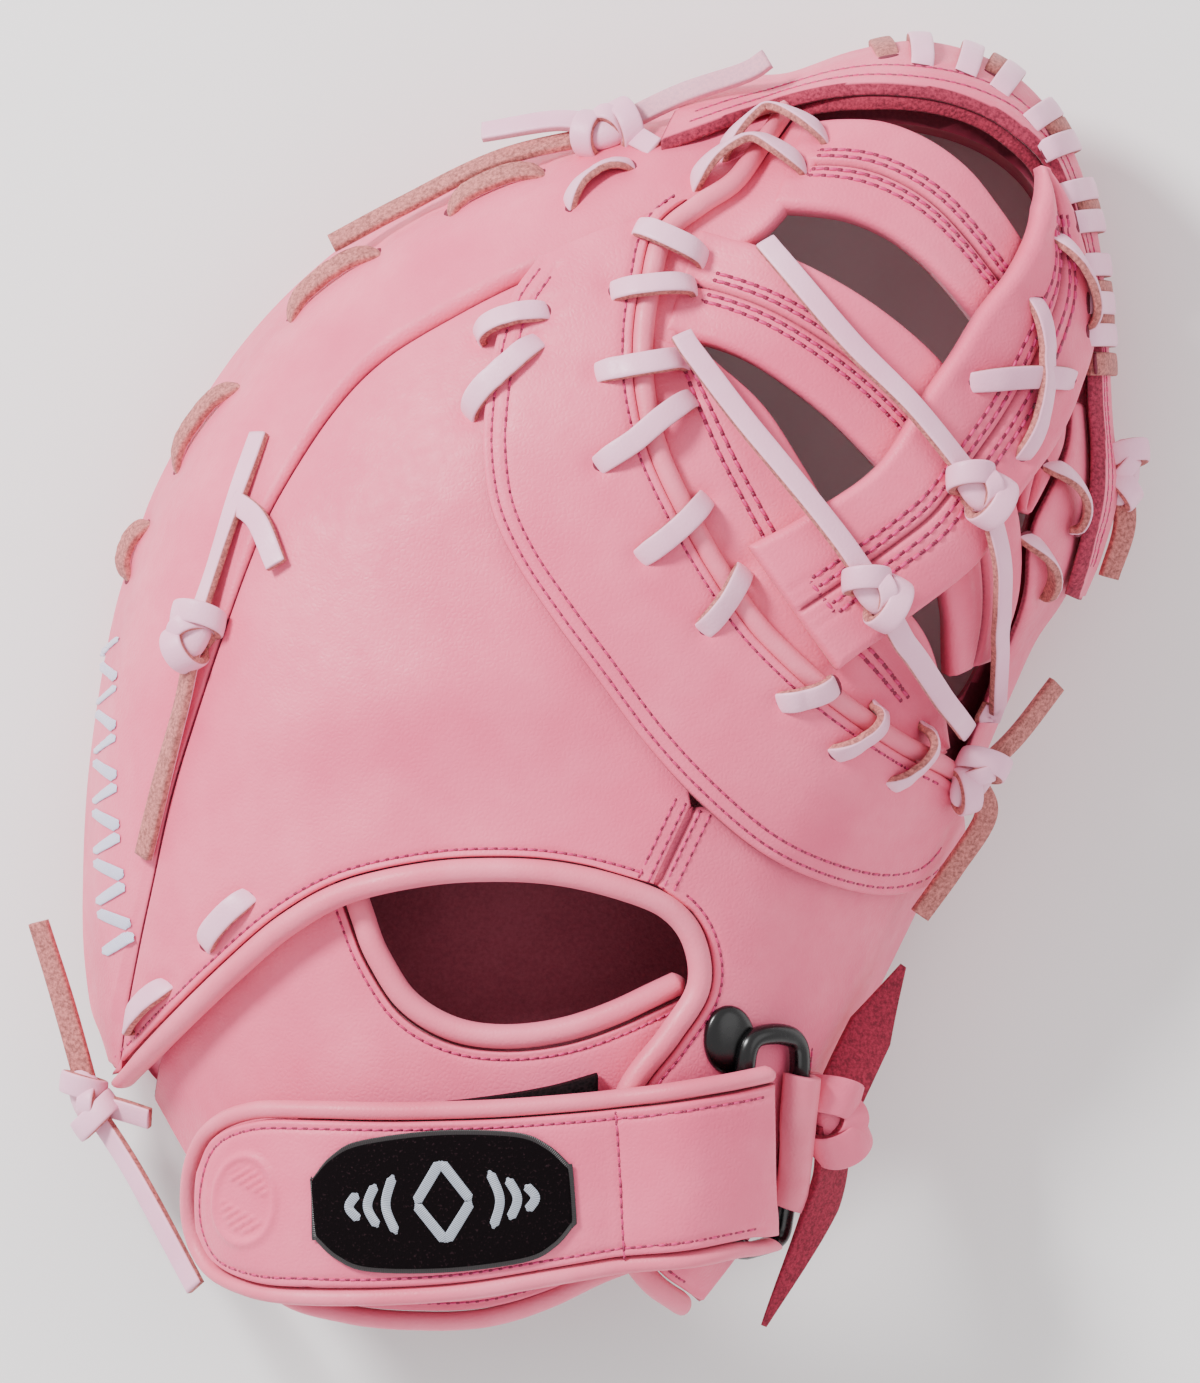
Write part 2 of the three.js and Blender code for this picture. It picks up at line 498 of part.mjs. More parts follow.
// A profile of [across, up] points carried along a path. Each path point has the direction that is across.
function sweep(path, across, profile, closed = false) {
  const count = path.length;
  const corners = profile.length;
  const points = [];
  path.forEach((p, i) => {
    const before = p.clone().sub(path[i > 0 ? i - 1 : closed ? count - 1 : 0]);
    const after = path[i < count - 1 ? i + 1 : closed ? 0 : i].clone().sub(p);
    if (before.lengthSq() === 0) before.copy(after);
    if (after.lengthSq() === 0) after.copy(before);
    const way = before.normalize().add(after.normalize()).normalize();
    const mitre = Math.min(1 / Math.max(way.dot(after), 0.4), 2);
    const up = way.clone().cross(across[i]).normalize();
    for (const [x, y] of profile)
      points.push(p.clone().addScaledVector(across[i], x).addScaledVector(up, y * mitre));
  });
  const faces = [];
  for (let i = 0; i < count - (closed ? 0 : 1); i++)
    for (let k = 0; k < corners; k++) {
      const j = (i + 1) % count;
      const n = (k + 1) % corners;
      faces.push([i * corners + k, j * corners + k, j * corners + n]);
      faces.push([i * corners + k, j * corners + n, i * corners + n]);
    }
  if (!closed) {
    const caps = THREE.ShapeUtils.triangulateShape(profile.map(([x, y]) => new THREE.Vector2(x, y)), []);
    for (const [a, b, c] of caps) {
      faces.push([a, b, c]);
      faces.push([(count - 1) * corners + a, (count - 1) * corners + c, (count - 1) * corners + b]);
    }
  }
  return body(points, faces);
}

const strip = (grow = 0) => {
  const x = laceWidth / 2 + grow;
  const y = laceThickness / 2 + grow;
  return [[-x, -y], [x, -y], [x, y], [-x, y]];
};
const circle = (radius, sides) => Array.from({ length: sides }, (_, k) => {
  const turn = ((k + 0.5) * 2 * Math.PI) / sides;
  return [radius * Math.cos(turn), radius * Math.sin(turn)];
});

// Directions across a path that lies on the back surface
function acrossSkin(spots, closed = false) {
  const count = spots.length;
  return spots.map((p, i) => {
    const a = spots[i > 0 ? i - 1 : closed ? count - 1 : 0];
    const b = spots[i < count - 1 ? i + 1 : closed ? 0 : i];
    const up = facing(p);
    const way = new THREE.Vector3(b.x - a.x, b.y - a.y, 0);
    return up.clone().cross(way.addScaledVector(up, -way.dot(up))).normalize();
  });
}

// A round roll along a run of the plan, at one level
const roll = (spots, lift, radius, sides = 6, closed = false) =>
  sweep(spots.map((p) => skin(p, lift)), acrossSkin(spots, closed), circle(radius, sides), closed);

// Lace that goes down and up through the leather, from a table of stitches
function laced(rows, under, grow = 0) {
  const path = [];
  const across = [];
  const t = laceThickness;
  for (const [x0, y0, lift0, x1, y1, lift1, crest, top] of rows) {
    const a = place([x0, y0]);
    const b = place([x1, y1]);
    const up = facing(a.clone().lerp(b, 0.5));
    const way = skin(b, 0).sub(skin(a, 0)).normalize();
    const aside = up.clone().cross(way).normalize();
    const add = (share, lift) => {
      path.push(skin(a.clone().lerp(b, share), lift));
      across.push(aside);
    };
    const half = Math.max(lift0, lift1) + 0.5 < crest ? 0.1 : 0.28; // half of the crest's length
    add(0, -under);
    add(0, (lift0 - 0.35) * t);
    add(top - half, crest * t);
    add(top + half, crest * t);
    add(1, (lift1 - 0.35) * t);
    add(1, -under);
  }
  return sweep(path, across, strip(grow));
}

// A point over the back, or level with the shell's shoulder where the plan goes past it
function over(p, lift) {
  const x = p.x - centre.x, y = p.y - centre.y;
  const past = Math.hypot(x, y) / (shoulder * rimRadius(Math.atan2(y, x)));
  if (past <= 1) return skin(p, lift);
  const edge = new THREE.Vector2(centre.x + x / past, centre.y + y / past);
  return new THREE.Vector3(p.x, p.y, heightAt(edge.x, edge.y) + lift);
}

// A loose length of lace laid over the back
function loose(rows, width = laceWidth, grow = 0) {
  const curve = new THREE.CatmullRomCurve3(
    rows.map(([x, y, lift]) => new THREE.Vector3(x * mittWidth, y * mittLength, lift * 10)),
    false, "catmullrom", 0.5);
  const spots = curve.getSpacedPoints(rows.length + 1);
  const path = spots.map((p) => over(new THREE.Vector2(p.x, p.y), (p.z / 10) * laceThickness));
  const across = path.map((p, i) => {
    const way = path[Math.min(i + 1, path.length - 1)].clone().sub(path[Math.max(i - 1, 0)]);
    const up = facing(new THREE.Vector2(p.x, p.y)).lerp(new THREE.Vector3(0, 0, 1), 0.5);
    return up.cross(way).normalize();
  });
  const x = width / 2 + grow, y = laceThickness / 2 + grow;
  return sweep(path, across, [[-x, -y], [x, -y], [x, y], [-x, y]]);
}

// A tied knot: a lump, a turn of lace round it and the loose ends, as one body
function knot([x, y, lift, turn], ends, grow = 0, width = laceWidth) {
  const middle = over(place([x, y]), lift * laceThickness);
  const up = facing(place([x, y])).lerp(new THREE.Vector3(0, 0, 1), 0.5).normalize();
  const way = new THREE.Vector3(Math.cos(turn), Math.sin(turn), 0);
  way.addScaledVector(up, -way.dot(up)).normalize();
  const frame = new THREE.Matrix4().makeBasis(way, up.clone().cross(way), up).setPosition(middle);
  const lump = kernel.Manifold.sphere(1, 8)
    .scale([knotSize * 0.52 + grow, knotSize * 0.4 + grow, knotSize * 0.3 + grow])
    .transform(Array.from(frame.elements));
  const path = Array.from({ length: 7 }, (_, k) => {
    const a = (k * 2 * Math.PI) / 7;
    return new THREE.Vector3(Math.sin(a) * 0.1, Math.cos(a) * 0.42, Math.sin(a) * 0.3)
      .multiplyScalar(knotSize).applyMatrix4(frame);
  });
  const around = sweep(path, path.map(() => way), strip(grow), true);
  return kernel.Manifold.union([lump, around, ...ends.map((rows) => loose(rows, width, grow))]);
}

// Palm: domed on top under the hand, hollow under the pocket, with a flat lip and an opening under the web
function palmBody() {
  const turns = 26;
  const rings = [];
  const ring = (make) => rings.push(Array.from({ length: turns }, (_, k) => {
    const turn = (k * 2 * Math.PI) / turns;
    const reach = rimRadius(turn) * roundTable(palmEdge, turn, 1);
    return make(turn, reach, Math.cos(turn), Math.sin(turn));
  }));
  const edge = (share, share2) => ring((turn, reach, c, s) => {
    const spot = new THREE.Vector2(centre.x + c * reach * share, centre.y + s * reach * share);
    const p = skin(spot, -leather - clearance);
    p.z = Math.min(p.z, backRise * roundTable(palmEdge, turn, 2) * share2);
    return p;
  });
  const face = (row, column) => ring((turn, reach, c, s) =>
    new THREE.Vector3(centre.x + c * reach * row[0], centre.y + s * reach * row[0], backRise * row[column]));
  const low = (inset, height) => ring((turn, reach, c, s) => {
    const p = skin(new THREE.Vector2(centre.x + c * reach, centre.y + s * reach), -leather - clearance);
    return new THREE.Vector3(p.x - c * inset, p.y - s * inset, height);
  });
  for (const row of palmDepth.slice(1)) face(row, 1);
  edge(0.975, 1);
  edge(1, 0.8);
  low(0, leather);
  low(leather, 0);
  low(leather + palmLip, 0);
  for (const row of palmDepth.slice(1).reverse()) face(row, 2);
  const points = [new THREE.Vector3(centre.x, centre.y, backRise * palmDepth[0][1]), ...rings.flat(),
    new THREE.Vector3(centre.x, centre.y, backRise * palmDepth[0][2])];
  const faces = [];
  const at = (r, k) => 1 + r * turns + (k % turns);
  for (let k = 0; k < turns; k++) {
    faces.push([0, at(0, k), at(0, k + 1)]);
    for (let r = 0; r < rings.length - 1; r++) {
      faces.push([at(r, k), at(r + 1, k), at(r + 1, k + 1)]);
      faces.push([at(r, k), at(r + 1, k + 1), at(r, k + 1)]);
    }
    faces.push([points.length - 1, at(rings.length - 1, k + 1), at(rings.length - 1, k)]);
  }
  const windowPlan = wave(webWindow, true).getSpacedPoints(28).slice(0, -1);
  const prism = new kernel.CrossSection([windowPlan.map((p) => [p.x, p.y])], "NonZero").extrude(backRise * 2)
    .translate([0, 0, -backRise / 2]);
  return body(points, faces).subtract(prism);
}

// The patch: a rounded plate that follows the strap's upper face
function patchBody() {
  const middle = place(patchSpot);
  const row = (side) => patchHalves.map(([x, half]) =>
    new THREE.Vector2(x * patchLength, side * half * patchHeight)
      .rotateAround(new THREE.Vector2(), patchTurn).add(middle));
  const base = strapLift + strapThickness + fit * 2;
  return panel(row(1), row(-1), 2, base + patchThickness, base);
}

// The tab's section: a fold over the ring's bar and a tail that lies on the thumb panel
function tabProfile() {
  const inner = ringBarRadius + fit * 2;
  const outer = inner + tabThickness;
  const arc = (radius, from, to) => Array.from({ length: 6 }, (_, k) => {
    const turn = from + ((to - from) * k) / 5;
    return [radius * Math.cos(turn), radius * Math.sin(turn)];
  });
  const tail = outer * 2.1;
  const floor = fit - ringLift;
  return [
    ...arc(outer, Math.PI * 1.08, 0), [tail, floor + tabThickness], [tail, floor], [inner + 0.4, floor],
    ...arc(inner, 0, Math.PI * 1.08),
  ].reverse();
}

// The strap rises over the ring's bar at its right end
const strapRise = (share) => {
  const f = Math.min(Math.max((share - 0.74) / 0.15, 0), 1);
  return (ringLift + ringBarRadius + fit * 5 - strapLift) * f * f * (3 - 2 * f);
};

const laceUnder = webThickness + fit + laceThickness / 2 + 0.4;
const shellUnder = leather + fit + laceThickness / 2 + 0.3;
const bandLift = overlayLift + fit;
const bandRow = bandPlaces.map((share) => {
  const [a] = run(topBandInner, 1, share - 0.012);
  const [b] = run(topBandInner, 1, share);
  const [c] = run(topBandOuter, 1, share);
  const from = a.lerp(c, 0.5), to = b.lerp(c, 0.93);
  const lift = (bandLift + leather + fit * 4) / laceThickness + 0.5;
  const [u0, v0, u1, v1] = [from.x / mittWidth, from.y / mittLength, to.x / mittWidth, to.y / mittLength];
  return [u0, v0, lift, u1, v1, lift, lift + 0.7, 0.5];
});
const laces = {
  heel_lace: (grow) => laced(heelStitches, shellUnder, grow),
  rim_lace: (grow) => laced(rimStitches, shellUnder, grow),
  tip_lace: (grow) => laced(tipStitches, shellUnder, grow),
  index_lace: (grow) => laced(indexStitches, shellUnder, grow),
  web_lace: (grow) => laced(webStitches, laceUnder, grow),
  finger_web_lace: (grow) => laced(fingerWebStitches, laceUnder, grow),
  post_lace: (grow) => laced(postStitches, laceUnder, grow),
  thumb_lace: (grow) => laced(thumbStitches, laceUnder, grow),
  band_lace: (grow) => laced(bandRow, fit + laceThickness / 2 - bandLift + fit, grow),
  knot_top: (grow) => knot(knots.top, topEnds, grow),
  knot_pinky: (grow) => knot(knots.pinky, pinkyEnds, grow),
  knot_post_upper: (grow) => knot(knots.postUpper, postUpperEnds, grow),
  knot_post_lower: (grow) => knot(knots.postLower, postLowerEnds, grow),
  knot_thumb: (grow) => knot(knots.thumb, thumbEnds, grow),
  knot_heel: (grow) => knot(knots.heel, heelEnds, grow),
  knot_crest: (grow) => knot(knots.crest, crestEnds, grow),
  wide_lace: (grow) => knot(knots.wide, wideEnds, grow, laceWidth * 1.5),
};

// Runs of the bound and welted edges, which the panels beside them follow at one fit
const weltRun = run(welt, 22);
const backSeam = 0.562; // share of the hand opening's edge where the back meets the thumb panel
const openingRun = [...run(openingEdge, 10, 0, backSeam), ...run(openingEdge, 13, backSeam, 1).slice(1)];
const cutoutRun = run(cutoutEdge, 11);
const wristRun = run(wristEdge, 12);
const strapRun = run(strapEdge, 26);
const beside = (spots, radius) => shifted(spots, radius + fit);

// A cutter that follows a roll and ends a panel beside it
const fence = (spots, radius) => {
  const x = radius + fit, y = radius + leather;
  return sweep(spots.map((p) => skin(p, 0)), acrossSkin(spots), [[-x, -y], [x, -y], [x, y], [-x, y]]);
};
const strapAt = (p) => strapRise((p.x - strapRun[12].x) / (strapRun[0].x - strapRun[12].x));
const shell = {
  palm: () => palmBody(),
  finger_back: () => panel(run(fingerSeam, 20, 0, 0.955),
    [...beside(openingRun, bindingRadius).slice(0, 10), ...shifted(run(thumbSeam, 1), seam / 2),
      ...run(backUnder, 8)],
    4, 0, -leather),
  finger_side: () => panel(shifted(run(fingerSeam, 18), seam), run(fingerRim, 18), 3, 0, -leather, 1.6)
    .subtract(fence(weltRun.slice(0, 8), weltRadius)),
  side_panel: () => panel(run(sidePanelEdge, 17), shifted(run(welt, 17, 0.17, 0.985), -weltRadius - fit),
    3, overlay, overlayLift, 0.9),
  thumb_wrist: () => panel(
    [...shifted(run(thumbSeam, 1), -seam / 2).reverse(), ...beside(openingRun, bindingRadius).slice(11)],
    run(thumbWristRim, 14), 4, 0, -leather, 1.5),
  thumb_web: () => panel(run(thumbWebEdge, 9), run(thumbRim, 9), 2, 0, -leather),
  wrist_panel: () => panel(
    [...run(wristTop, 3), ...beside(cutoutRun, -bindingRadius - fit * 2)],
    [...run(wristBottom, 2), ...beside(wristRun, wristBindingRadius + fit)],
    3, wristLift + leather / 2, wristLift - leather / 2),
  welt: () => roll(weltRun, weltLift, weltRadius),
  opening_binding: () => roll(openingRun, bindingLift, bindingRadius),
  cutout_binding: () => roll(cutoutRun, wristLift, bindingRadius),
  wrist_binding: () => roll(wristRun, wristLift, wristBindingRadius),
  web_bar_upper: () => panel(run(barTopOuter, 14), run(barTopInner, 14), 2, 0, -webThickness),
  web_bar_lower: () => panel(run(barLowOuter, 14), run(barLowInner, 14), 2, 0, -webThickness),
  web_base: () => panel(beside(run(welt, 12, 0.33, 0.97), weltRadius), run(webBaseFree, 12),
    2, 0, -webThickness),
  web_post: () => panel(run(postLeft, 14), run(postRight, 14), 2, postLift + webThickness, postLift),
  top_band: () => panel(run(topBandInner, 18), run(topBandOuter, 18), 2, bandLift + leather, bandLift),
  top_band_liner: () => {
    const inner = run(topBandInner, 12, 0.26, 0.72);
    return panel(shifted(inner, -linerShow), shifted(inner, linerShow), 1, fit, fit - leather);
  },
  strap: () => panel(run(strapTop, 16), run(strapBottom, 16), 3,
    (s) => strapLift + strapRise(s) + strapThickness, (s) => strapLift + strapRise(s)),
  strap_binding: () => sweep(
    strapRun.map((p) => skin(p, strapLift + strapAt(p) + strapThickness / 2)), acrossSkin(strapRun),
    circle(strapBindingRadius, 6)),
  strap_patch: () => patchBody(),
  fastener_pad: () =>
    panel(run(padTop, 8), run(padBottom, 8), 2, strapLift - fit * 2, wristLift + leather / 2 + fit * 3),
  ring: () => {
    const spots = wave(ringPath, true).getSpacedPoints(20).slice(0, -1);
    return roll(spots.map((p) => new THREE.Vector2(p.x, p.y)), ringLift, ringBarRadius, 6, true);
  },
  ring_tab: () => {
    const curve = wave(ringPath, true);
    const spots = [0.35, 0.42, 0.49, 0.56, 0.62].map((f) => curve.getPointAt(f))
      .map((p) => new THREE.Vector2(p.x, p.y));
    return sweep(spots.map((p) => skin(p, ringLift)), acrossSkin(spots), tabProfile());
  },
};

// The lace holes are cut through every piece that a lace meets, and the larger part of the piece is kept
const built = new Map();
for (const [name, make] of Object.entries(laces)) built.set(name, make(0));
const cutters = Object.values(laces).map((make) => make(fit));
const boxesMeet = (a, b) => [0, 1, 2].every((k) => a.min[k] < b.max[k] && b.min[k] < a.max[k]);
for (const [name, make] of Object.entries(shell)) {
  let piece = make();
  for (const cutter of cutters)
    if (boxesMeet(piece.boundingBox(), cutter.boundingBox())) piece = piece.subtract(cutter);
  const parts = piece.decompose().sort((a, b) => b.volume() - a.volume());
  built.set(name, parts[0]);
}

// Finishes of the real mitt
const finishes = {
  leather: { color: 0xe3a2b1, roughness: 0.55 },
  lace: { color: 0xebcbda, roughness: 0.6 },
  palm: { color: 0xd992a4, roughness: 0.6 },
  black: { color: 0x2a2a2d, roughness: 0.5 },
  patch: { color: 0x120508, roughness: 0.9 },
};
const finishOf = (name) => {
  if (name in laces) return "lace";
  if (name === "ring" || name === "fastener_pad") return "black";
  if (name === "palm") return "palm";
  return name === "strap_patch" ? "patch" : "leather";
};

const mitt = new THREE.Group();
for (const [name, solid] of built) {
  const { vertProperties, triVerts, numProp } = solid.getMesh();
  const geometry = new THREE.BufferGeometry();
  const spots = new Float32Array((vertProperties.length / numProp) * 3);
  for (let i = 0; i < spots.length / 3; i++)
    for (let k = 0; k < 3; k++) spots[i * 3 + k] = vertProperties[i * numProp + k];
  geometry.setAttribute("position", new THREE.BufferAttribute(spots, 3));
  geometry.setIndex(Array.from(triVerts));
  geometry.computeVertexNormals();
  const mesh = new THREE.Mesh(geometry, new THREE.MeshStandardMaterial(finishes[finishOf(name)]));
  mesh.name = name;
  mitt.add(mesh);
}
export default mitt;
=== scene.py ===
import bpy
import numpy as np
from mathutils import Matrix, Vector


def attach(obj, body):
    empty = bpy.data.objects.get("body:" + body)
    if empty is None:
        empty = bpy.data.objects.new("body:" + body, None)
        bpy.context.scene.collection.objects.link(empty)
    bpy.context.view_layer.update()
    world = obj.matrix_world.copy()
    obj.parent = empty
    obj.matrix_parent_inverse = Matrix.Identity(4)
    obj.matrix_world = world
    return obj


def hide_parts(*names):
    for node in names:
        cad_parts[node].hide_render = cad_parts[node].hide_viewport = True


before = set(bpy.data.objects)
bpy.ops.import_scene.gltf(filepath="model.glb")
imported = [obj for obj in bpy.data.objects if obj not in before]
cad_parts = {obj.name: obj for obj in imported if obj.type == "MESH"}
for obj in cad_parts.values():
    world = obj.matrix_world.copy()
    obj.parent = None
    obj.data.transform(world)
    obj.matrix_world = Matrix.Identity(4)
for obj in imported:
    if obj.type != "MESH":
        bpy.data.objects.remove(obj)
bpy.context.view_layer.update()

# Camera, lamps and floor. The mitt lies palm down on a pale studio floor and is looked at straight from above
# through a long lens. One wide soft lamp stands past the fingertips and the little finger, weaker ones fill in.
MM = 0.001
PHOTO_TALL = 0.3389  # metres of the view from top to bottom, at half of the mitt's height
CAMERA_RISE = 3.0
CAMERA_SPOT = (0.00368, -0.00208, 0.06)


def linear(code):
    """An sRGB hex colour as linear red, green, blue and alpha."""
    parts = np.array([int(code[k : k + 2], 16) for k in (1, 3, 5)]) / 255
    bent = np.where(parts <= 0.04045, parts / 12.92, ((parts + 0.055) / 1.055) ** 2.4)
    return (*bent.tolist(), 1.0)


def add(tree, kind, settings=(), links=()):
    """A shader node with its settings, by property or socket, and the sockets that feed it."""
    node = tree.nodes.new("ShaderNode" + kind)
    for key, value in dict(settings).items():
        if isinstance(key, str) and hasattr(node, key):
            setattr(node, key, value)
        else:
            node.inputs[key].default_value = value
    for key, socket in dict(links).items():
        tree.links.new(socket, node.inputs[key])
    return node


def blank(name):
    """An empty material and its node tree."""
    finish = bpy.data.materials.new(name)
    finish.use_nodes = True
    finish.node_tree.nodes.clear()
    return finish, finish.node_tree


def textured(name, kind, settings, output=0):
    """A blank material, its node tree, and the output of one texture over the object's own coordinates."""
    finish, tree = blank(name)
    texture = add(tree, kind, settings, {"Vector": add(tree, "TexCoord").outputs["Object"]})
    return finish, tree, texture.outputs[output]


def mixed(tree, one, other, share):
    """The colour between two hex colours, at the share that a socket gives."""
    return add(tree, "Mix", {"data_type": "RGBA", 6: linear(one), 7: linear(other)}, {0: share}).outputs[2]


def shaded(tree, look, links, strength=0.0, deep=0.0, level=None):
    """The end of a material: a bump of this strength and depth in metres, where a level is given, and the shader."""
    if level is not None:
        bump = add(tree, "Bump", {"Strength": strength, "Distance": deep}, {"Height": level})
        links = {**links, "Normal": bump.outputs[0]}
    shader = add(tree, "BsdfPrincipled", look, links)
    add(tree, "OutputMaterial", {}, {"Surface": shader.outputs[0]})


lens = bpy.data.cameras.new("camera")
lens.type = "PERSP"
lens.sensor_width = 36
lens.lens = 36 * CAMERA_RISE / PHOTO_TALL
lens.clip_start, lens.clip_end = 0.1, 30
camera = bpy.data.objects.new("camera", lens)
camera.location = (CAMERA_SPOT[0], CAMERA_SPOT[1], CAMERA_SPOT[2] + CAMERA_RISE)
bpy.context.collection.objects.link(camera)
bpy.context.scene.camera = camera

# Columns: name, place, size and power in watts
LAMPS = [
    ("key_lamp", (-0.95, 0.85, 1.1), 0.4, 43.0),
    ("fill_lamp", (1.2, 0.2, 1.1), 1.3, 5.0),
    ("heel_lamp", (-0.1, -1.4, 0.9), 1.2, 5.0),
]
for lamp_name, spot, size, watts in LAMPS:
    lamp = bpy.data.lights.new(lamp_name, "AREA")
    lamp.shape, lamp.size, lamp.energy = "DISK", size, watts
    stand = bpy.data.objects.new(lamp_name, lamp)
    stand.location = spot
    aim = Vector((0, 0, 0.05)) - Vector(spot)
    stand.rotation_euler = aim.to_track_quat("-Z", "Y").to_euler()
    bpy.context.collection.objects.link(stand)

studio = bpy.data.worlds.new("studio")
studio.use_nodes = True
studio.node_tree.nodes["Background"].inputs["Color"].default_value = linear("#F6F4F5")
studio.node_tree.nodes["Background"].inputs["Strength"].default_value = 1.05
bpy.context.scene.world = studio

floor_paint, tree = blank("matte_white_floor")
shade = add(tree, "TexNoise", {"Scale": 3.0, "Detail": 2.0})
shaded(tree, {"Roughness": 0.9}, {"Base Color": mixed(tree, "#F7F5F5", "#F2F0F0", shade.outputs[0])})
ground = bpy.data.meshes.new("floor")
ground.from_pydata([(-4, -4, 0), (4, -4, 0), (4, 4, 0), (-4, 4, 0)], [], [(0, 1, 2, 3)])
ground.materials.append(floor_paint)
floor = bpy.data.objects.new("floor", ground)
bpy.context.collection.objects.link(floor)

# Palm. Thick steerhide over padding, moulded to a deep pocket, with a flat lip that lies on the floor and an
# opening under the web. The same domed form, wider by the padding, carries every piece of the back over it.
RISE = 100.0  # crown of the back over the floor
LEATHER = 2.6
FIT = 0.3
CLEAR = 0.9
PALM_LIP = 10.0
HUB = np.array([-6.2, 10.6])
OUTLINE = [
    (-118.8, -99.7), (-123.7, -75.2), (-125.7, -53.2), (-124.2, -18.9), (-117.6, 20.3), (-106.6, 52.2), (-87, 84),
    (-62.5, 108.6), (-33.1, 126.9), (-6.1, 137.5), (15.9, 144.1), (38, 149.2), (52.7, 150.2), (68.6, 156.1),
    (84.5, 158), (101.7, 152.7), (115.2, 140.9), (122.8, 124.5), (126.9, 106.1), (128.9, 84), (130.1, 64.4),
    (131.6, 48.5), (127.7, 33.1), (120.8, 19.8), (113.9, 10), (107.8, -3.4), (102.7, -15.2), (98, -26.7),
    (92.6, -39), (83.3, -58.1), (73.5, -77.7), (64.9, -94.8), (55.6, -113.2), (44.1, -134), (27, -155.1),
    (3.7, -159), (-25.7, -160.5), (-60, -160.3), (-79.1, -153.1), (-93.1, -136.5), (-106.6, -116.9),
]
# Heights at shares of the way from the hub to the edge, for every 22.5 degrees from +X
SPOKE_REACH = np.array([0, 0.35, 0.6, 0.8, 0.92, 1])
SPOKES = np.array([
    (0.97, 0.92, 0.76, 0.52, 0.12), (0.97, 0.92, 0.76, 0.56, 0.18), (0.98, 0.92, 0.8, 0.62, 0.3),
    (0.97, 0.9, 0.78, 0.58, 0.25), (0.96, 0.88, 0.74, 0.52, 0.18), (0.95, 0.84, 0.66, 0.44, 0.14),
    (0.95, 0.82, 0.64, 0.42, 0.12), (0.95, 0.84, 0.66, 0.44, 0.12), (0.95, 0.85, 0.67, 0.45, 0.12),
    (0.96, 0.86, 0.68, 0.46, 0.14), (0.96, 0.86, 0.7, 0.5, 0.22), (0.96, 0.9, 0.84, 0.78, 0.68),
    (0.97, 0.92, 0.88, 0.84, 0.78), (0.97, 0.9, 0.8, 0.68, 0.45), (0.97, 0.88, 0.7, 0.5, 0.14),
    (0.97, 0.9, 0.72, 0.5, 0.12),
])
# The palm's reach and greatest edge height for every 22.5 degrees
PALM_EDGE = np.array([
    (1, 0.4), (1, 0.4), (1, 0.4), (0.98, 0.4), (1, 0.4), (1, 0.4), (1, 0.4), (1, 0.4), (1, 0.4), (0.995, 0.24),
    (0.955, 0.08), (0.9, 0.14), (0.86, 0.16), (0.86, 0.18), (0.95, 0.3), (1, 0.4),
])
# Columns: share of the way out, height of the upper and of the lower face
PALM_DEPTH = [(0.001, 0.6, 0.52), (0.35, 0.58, 0.5), (0.6, 0.52, 0.42), (0.8, 0.44, 0.24)]
WEB_WINDOW = [
    (52.7, 130.6), (69.8, 137.5), (87, 136.5), (101.7, 130.6), (111.5, 120.8), (115.9, 106.1), (117.4, 86.5),
    (114.9, 64.4), (110.3, 44.8), (104.6, 25.2), (98, 5.6), (89.4, -5.4), (74.7, 3.2), (61.3, 15.4),
    (47.8, 31.4), (35.5, 49.7), (25.7, 69.3), (25.7, 88.9), (31.9, 106.1), (42.9, 119.6),
]


def unit(rows):
    """Directions of length one."""
    return rows / np.linalg.norm(rows, axis=-1, keepdims=True)


def travelled(line):
    """Distance gone along a line at each of its points."""
    return np.concatenate([[0], np.cumsum(np.linalg.norm(np.diff(line, axis=0), axis=1))])


def bell(gap, wide):
    """One where the gap is nothing, falling off as exp(-(gap / wide)^2)."""
    return np.exp(-((gap / wide) ** 2))


def cubic(a, b, c, d, f):
    """The Catmull-Rom cubic from b to c at a share f, with a and d as their neighbours."""
    return b + 0.5 * f * (c - a + f * (2 * a - 5 * b + 4 * c - d + f * (3 * (b - c) + d - a)))


def equal_turns(count, first=0):
    """Equal turns round a circle, in radians."""
    return (np.arange(count) + first) * 2 * np.pi / count


def oval(turn, wide=1.0, tall=1.0):
    """Points of an ellipse at these turns, from its half width and half height."""
    return np.stack([wide * np.cos(turn), tall * np.sin(turn)], 1)


def curve(rows, steps, start=0.0, stop=1.0, closed=False):
    """Points at equal distances along a smooth line through rows.

    Between two rows the line is the Catmull-Rom cubic of those two and their neighbours. Its length is summed
    over a fine sampling, and the wanted distances are read back from that."""
    rows = np.asarray(rows, float)
    ends = (rows[-1:], rows[:2]) if closed else (2 * rows[:1] - rows[1:2], 2 * rows[-1:] - rows[-2:-1])
    held = np.vstack([ends[0], rows, ends[1]])
    stretches = len(held) - 3
    t = np.linspace(0, stretches, stretches * 24 + 1)
    i = np.minimum(t.astype(int), stretches - 1)
    f = (t - i)[:, None]
    line = cubic(*(held[i + k] for k in range(4)), f)
    gone = travelled(line)
    wanted = np.linspace(start, stop, steps + 1) * gone[-1]
    return np.stack([np.interp(wanted, gone, column) for column in line.T], 1)


def shifted(points, distance):
    """A plan line moved sideways, to the left of the way it runs."""
    way = unit(np.gradient(points, axis=0))
    return points + np.stack([-way[:, 1], way[:, 0]], 1) * np.asarray(distance).reshape(-1, 1)


rim_line = curve(OUTLINE, 720, closed=True)[:-1] - HUB
rim_turn = np.arctan2(rim_line[:, 1], rim_line[:, 0]) % (2 * np.pi)
rim_reach = np.hypot(rim_line[:, 0], rim_line[:, 1])[np.argsort(rim_turn)]
rim_turn = np.sort(rim_turn)


def rim_radius(turn):
    """Distance from the hub to the outline in a direction, by interpolation round the outline."""
    return np.interp(turn, rim_turn, rim_reach, period=2 * np.pi)


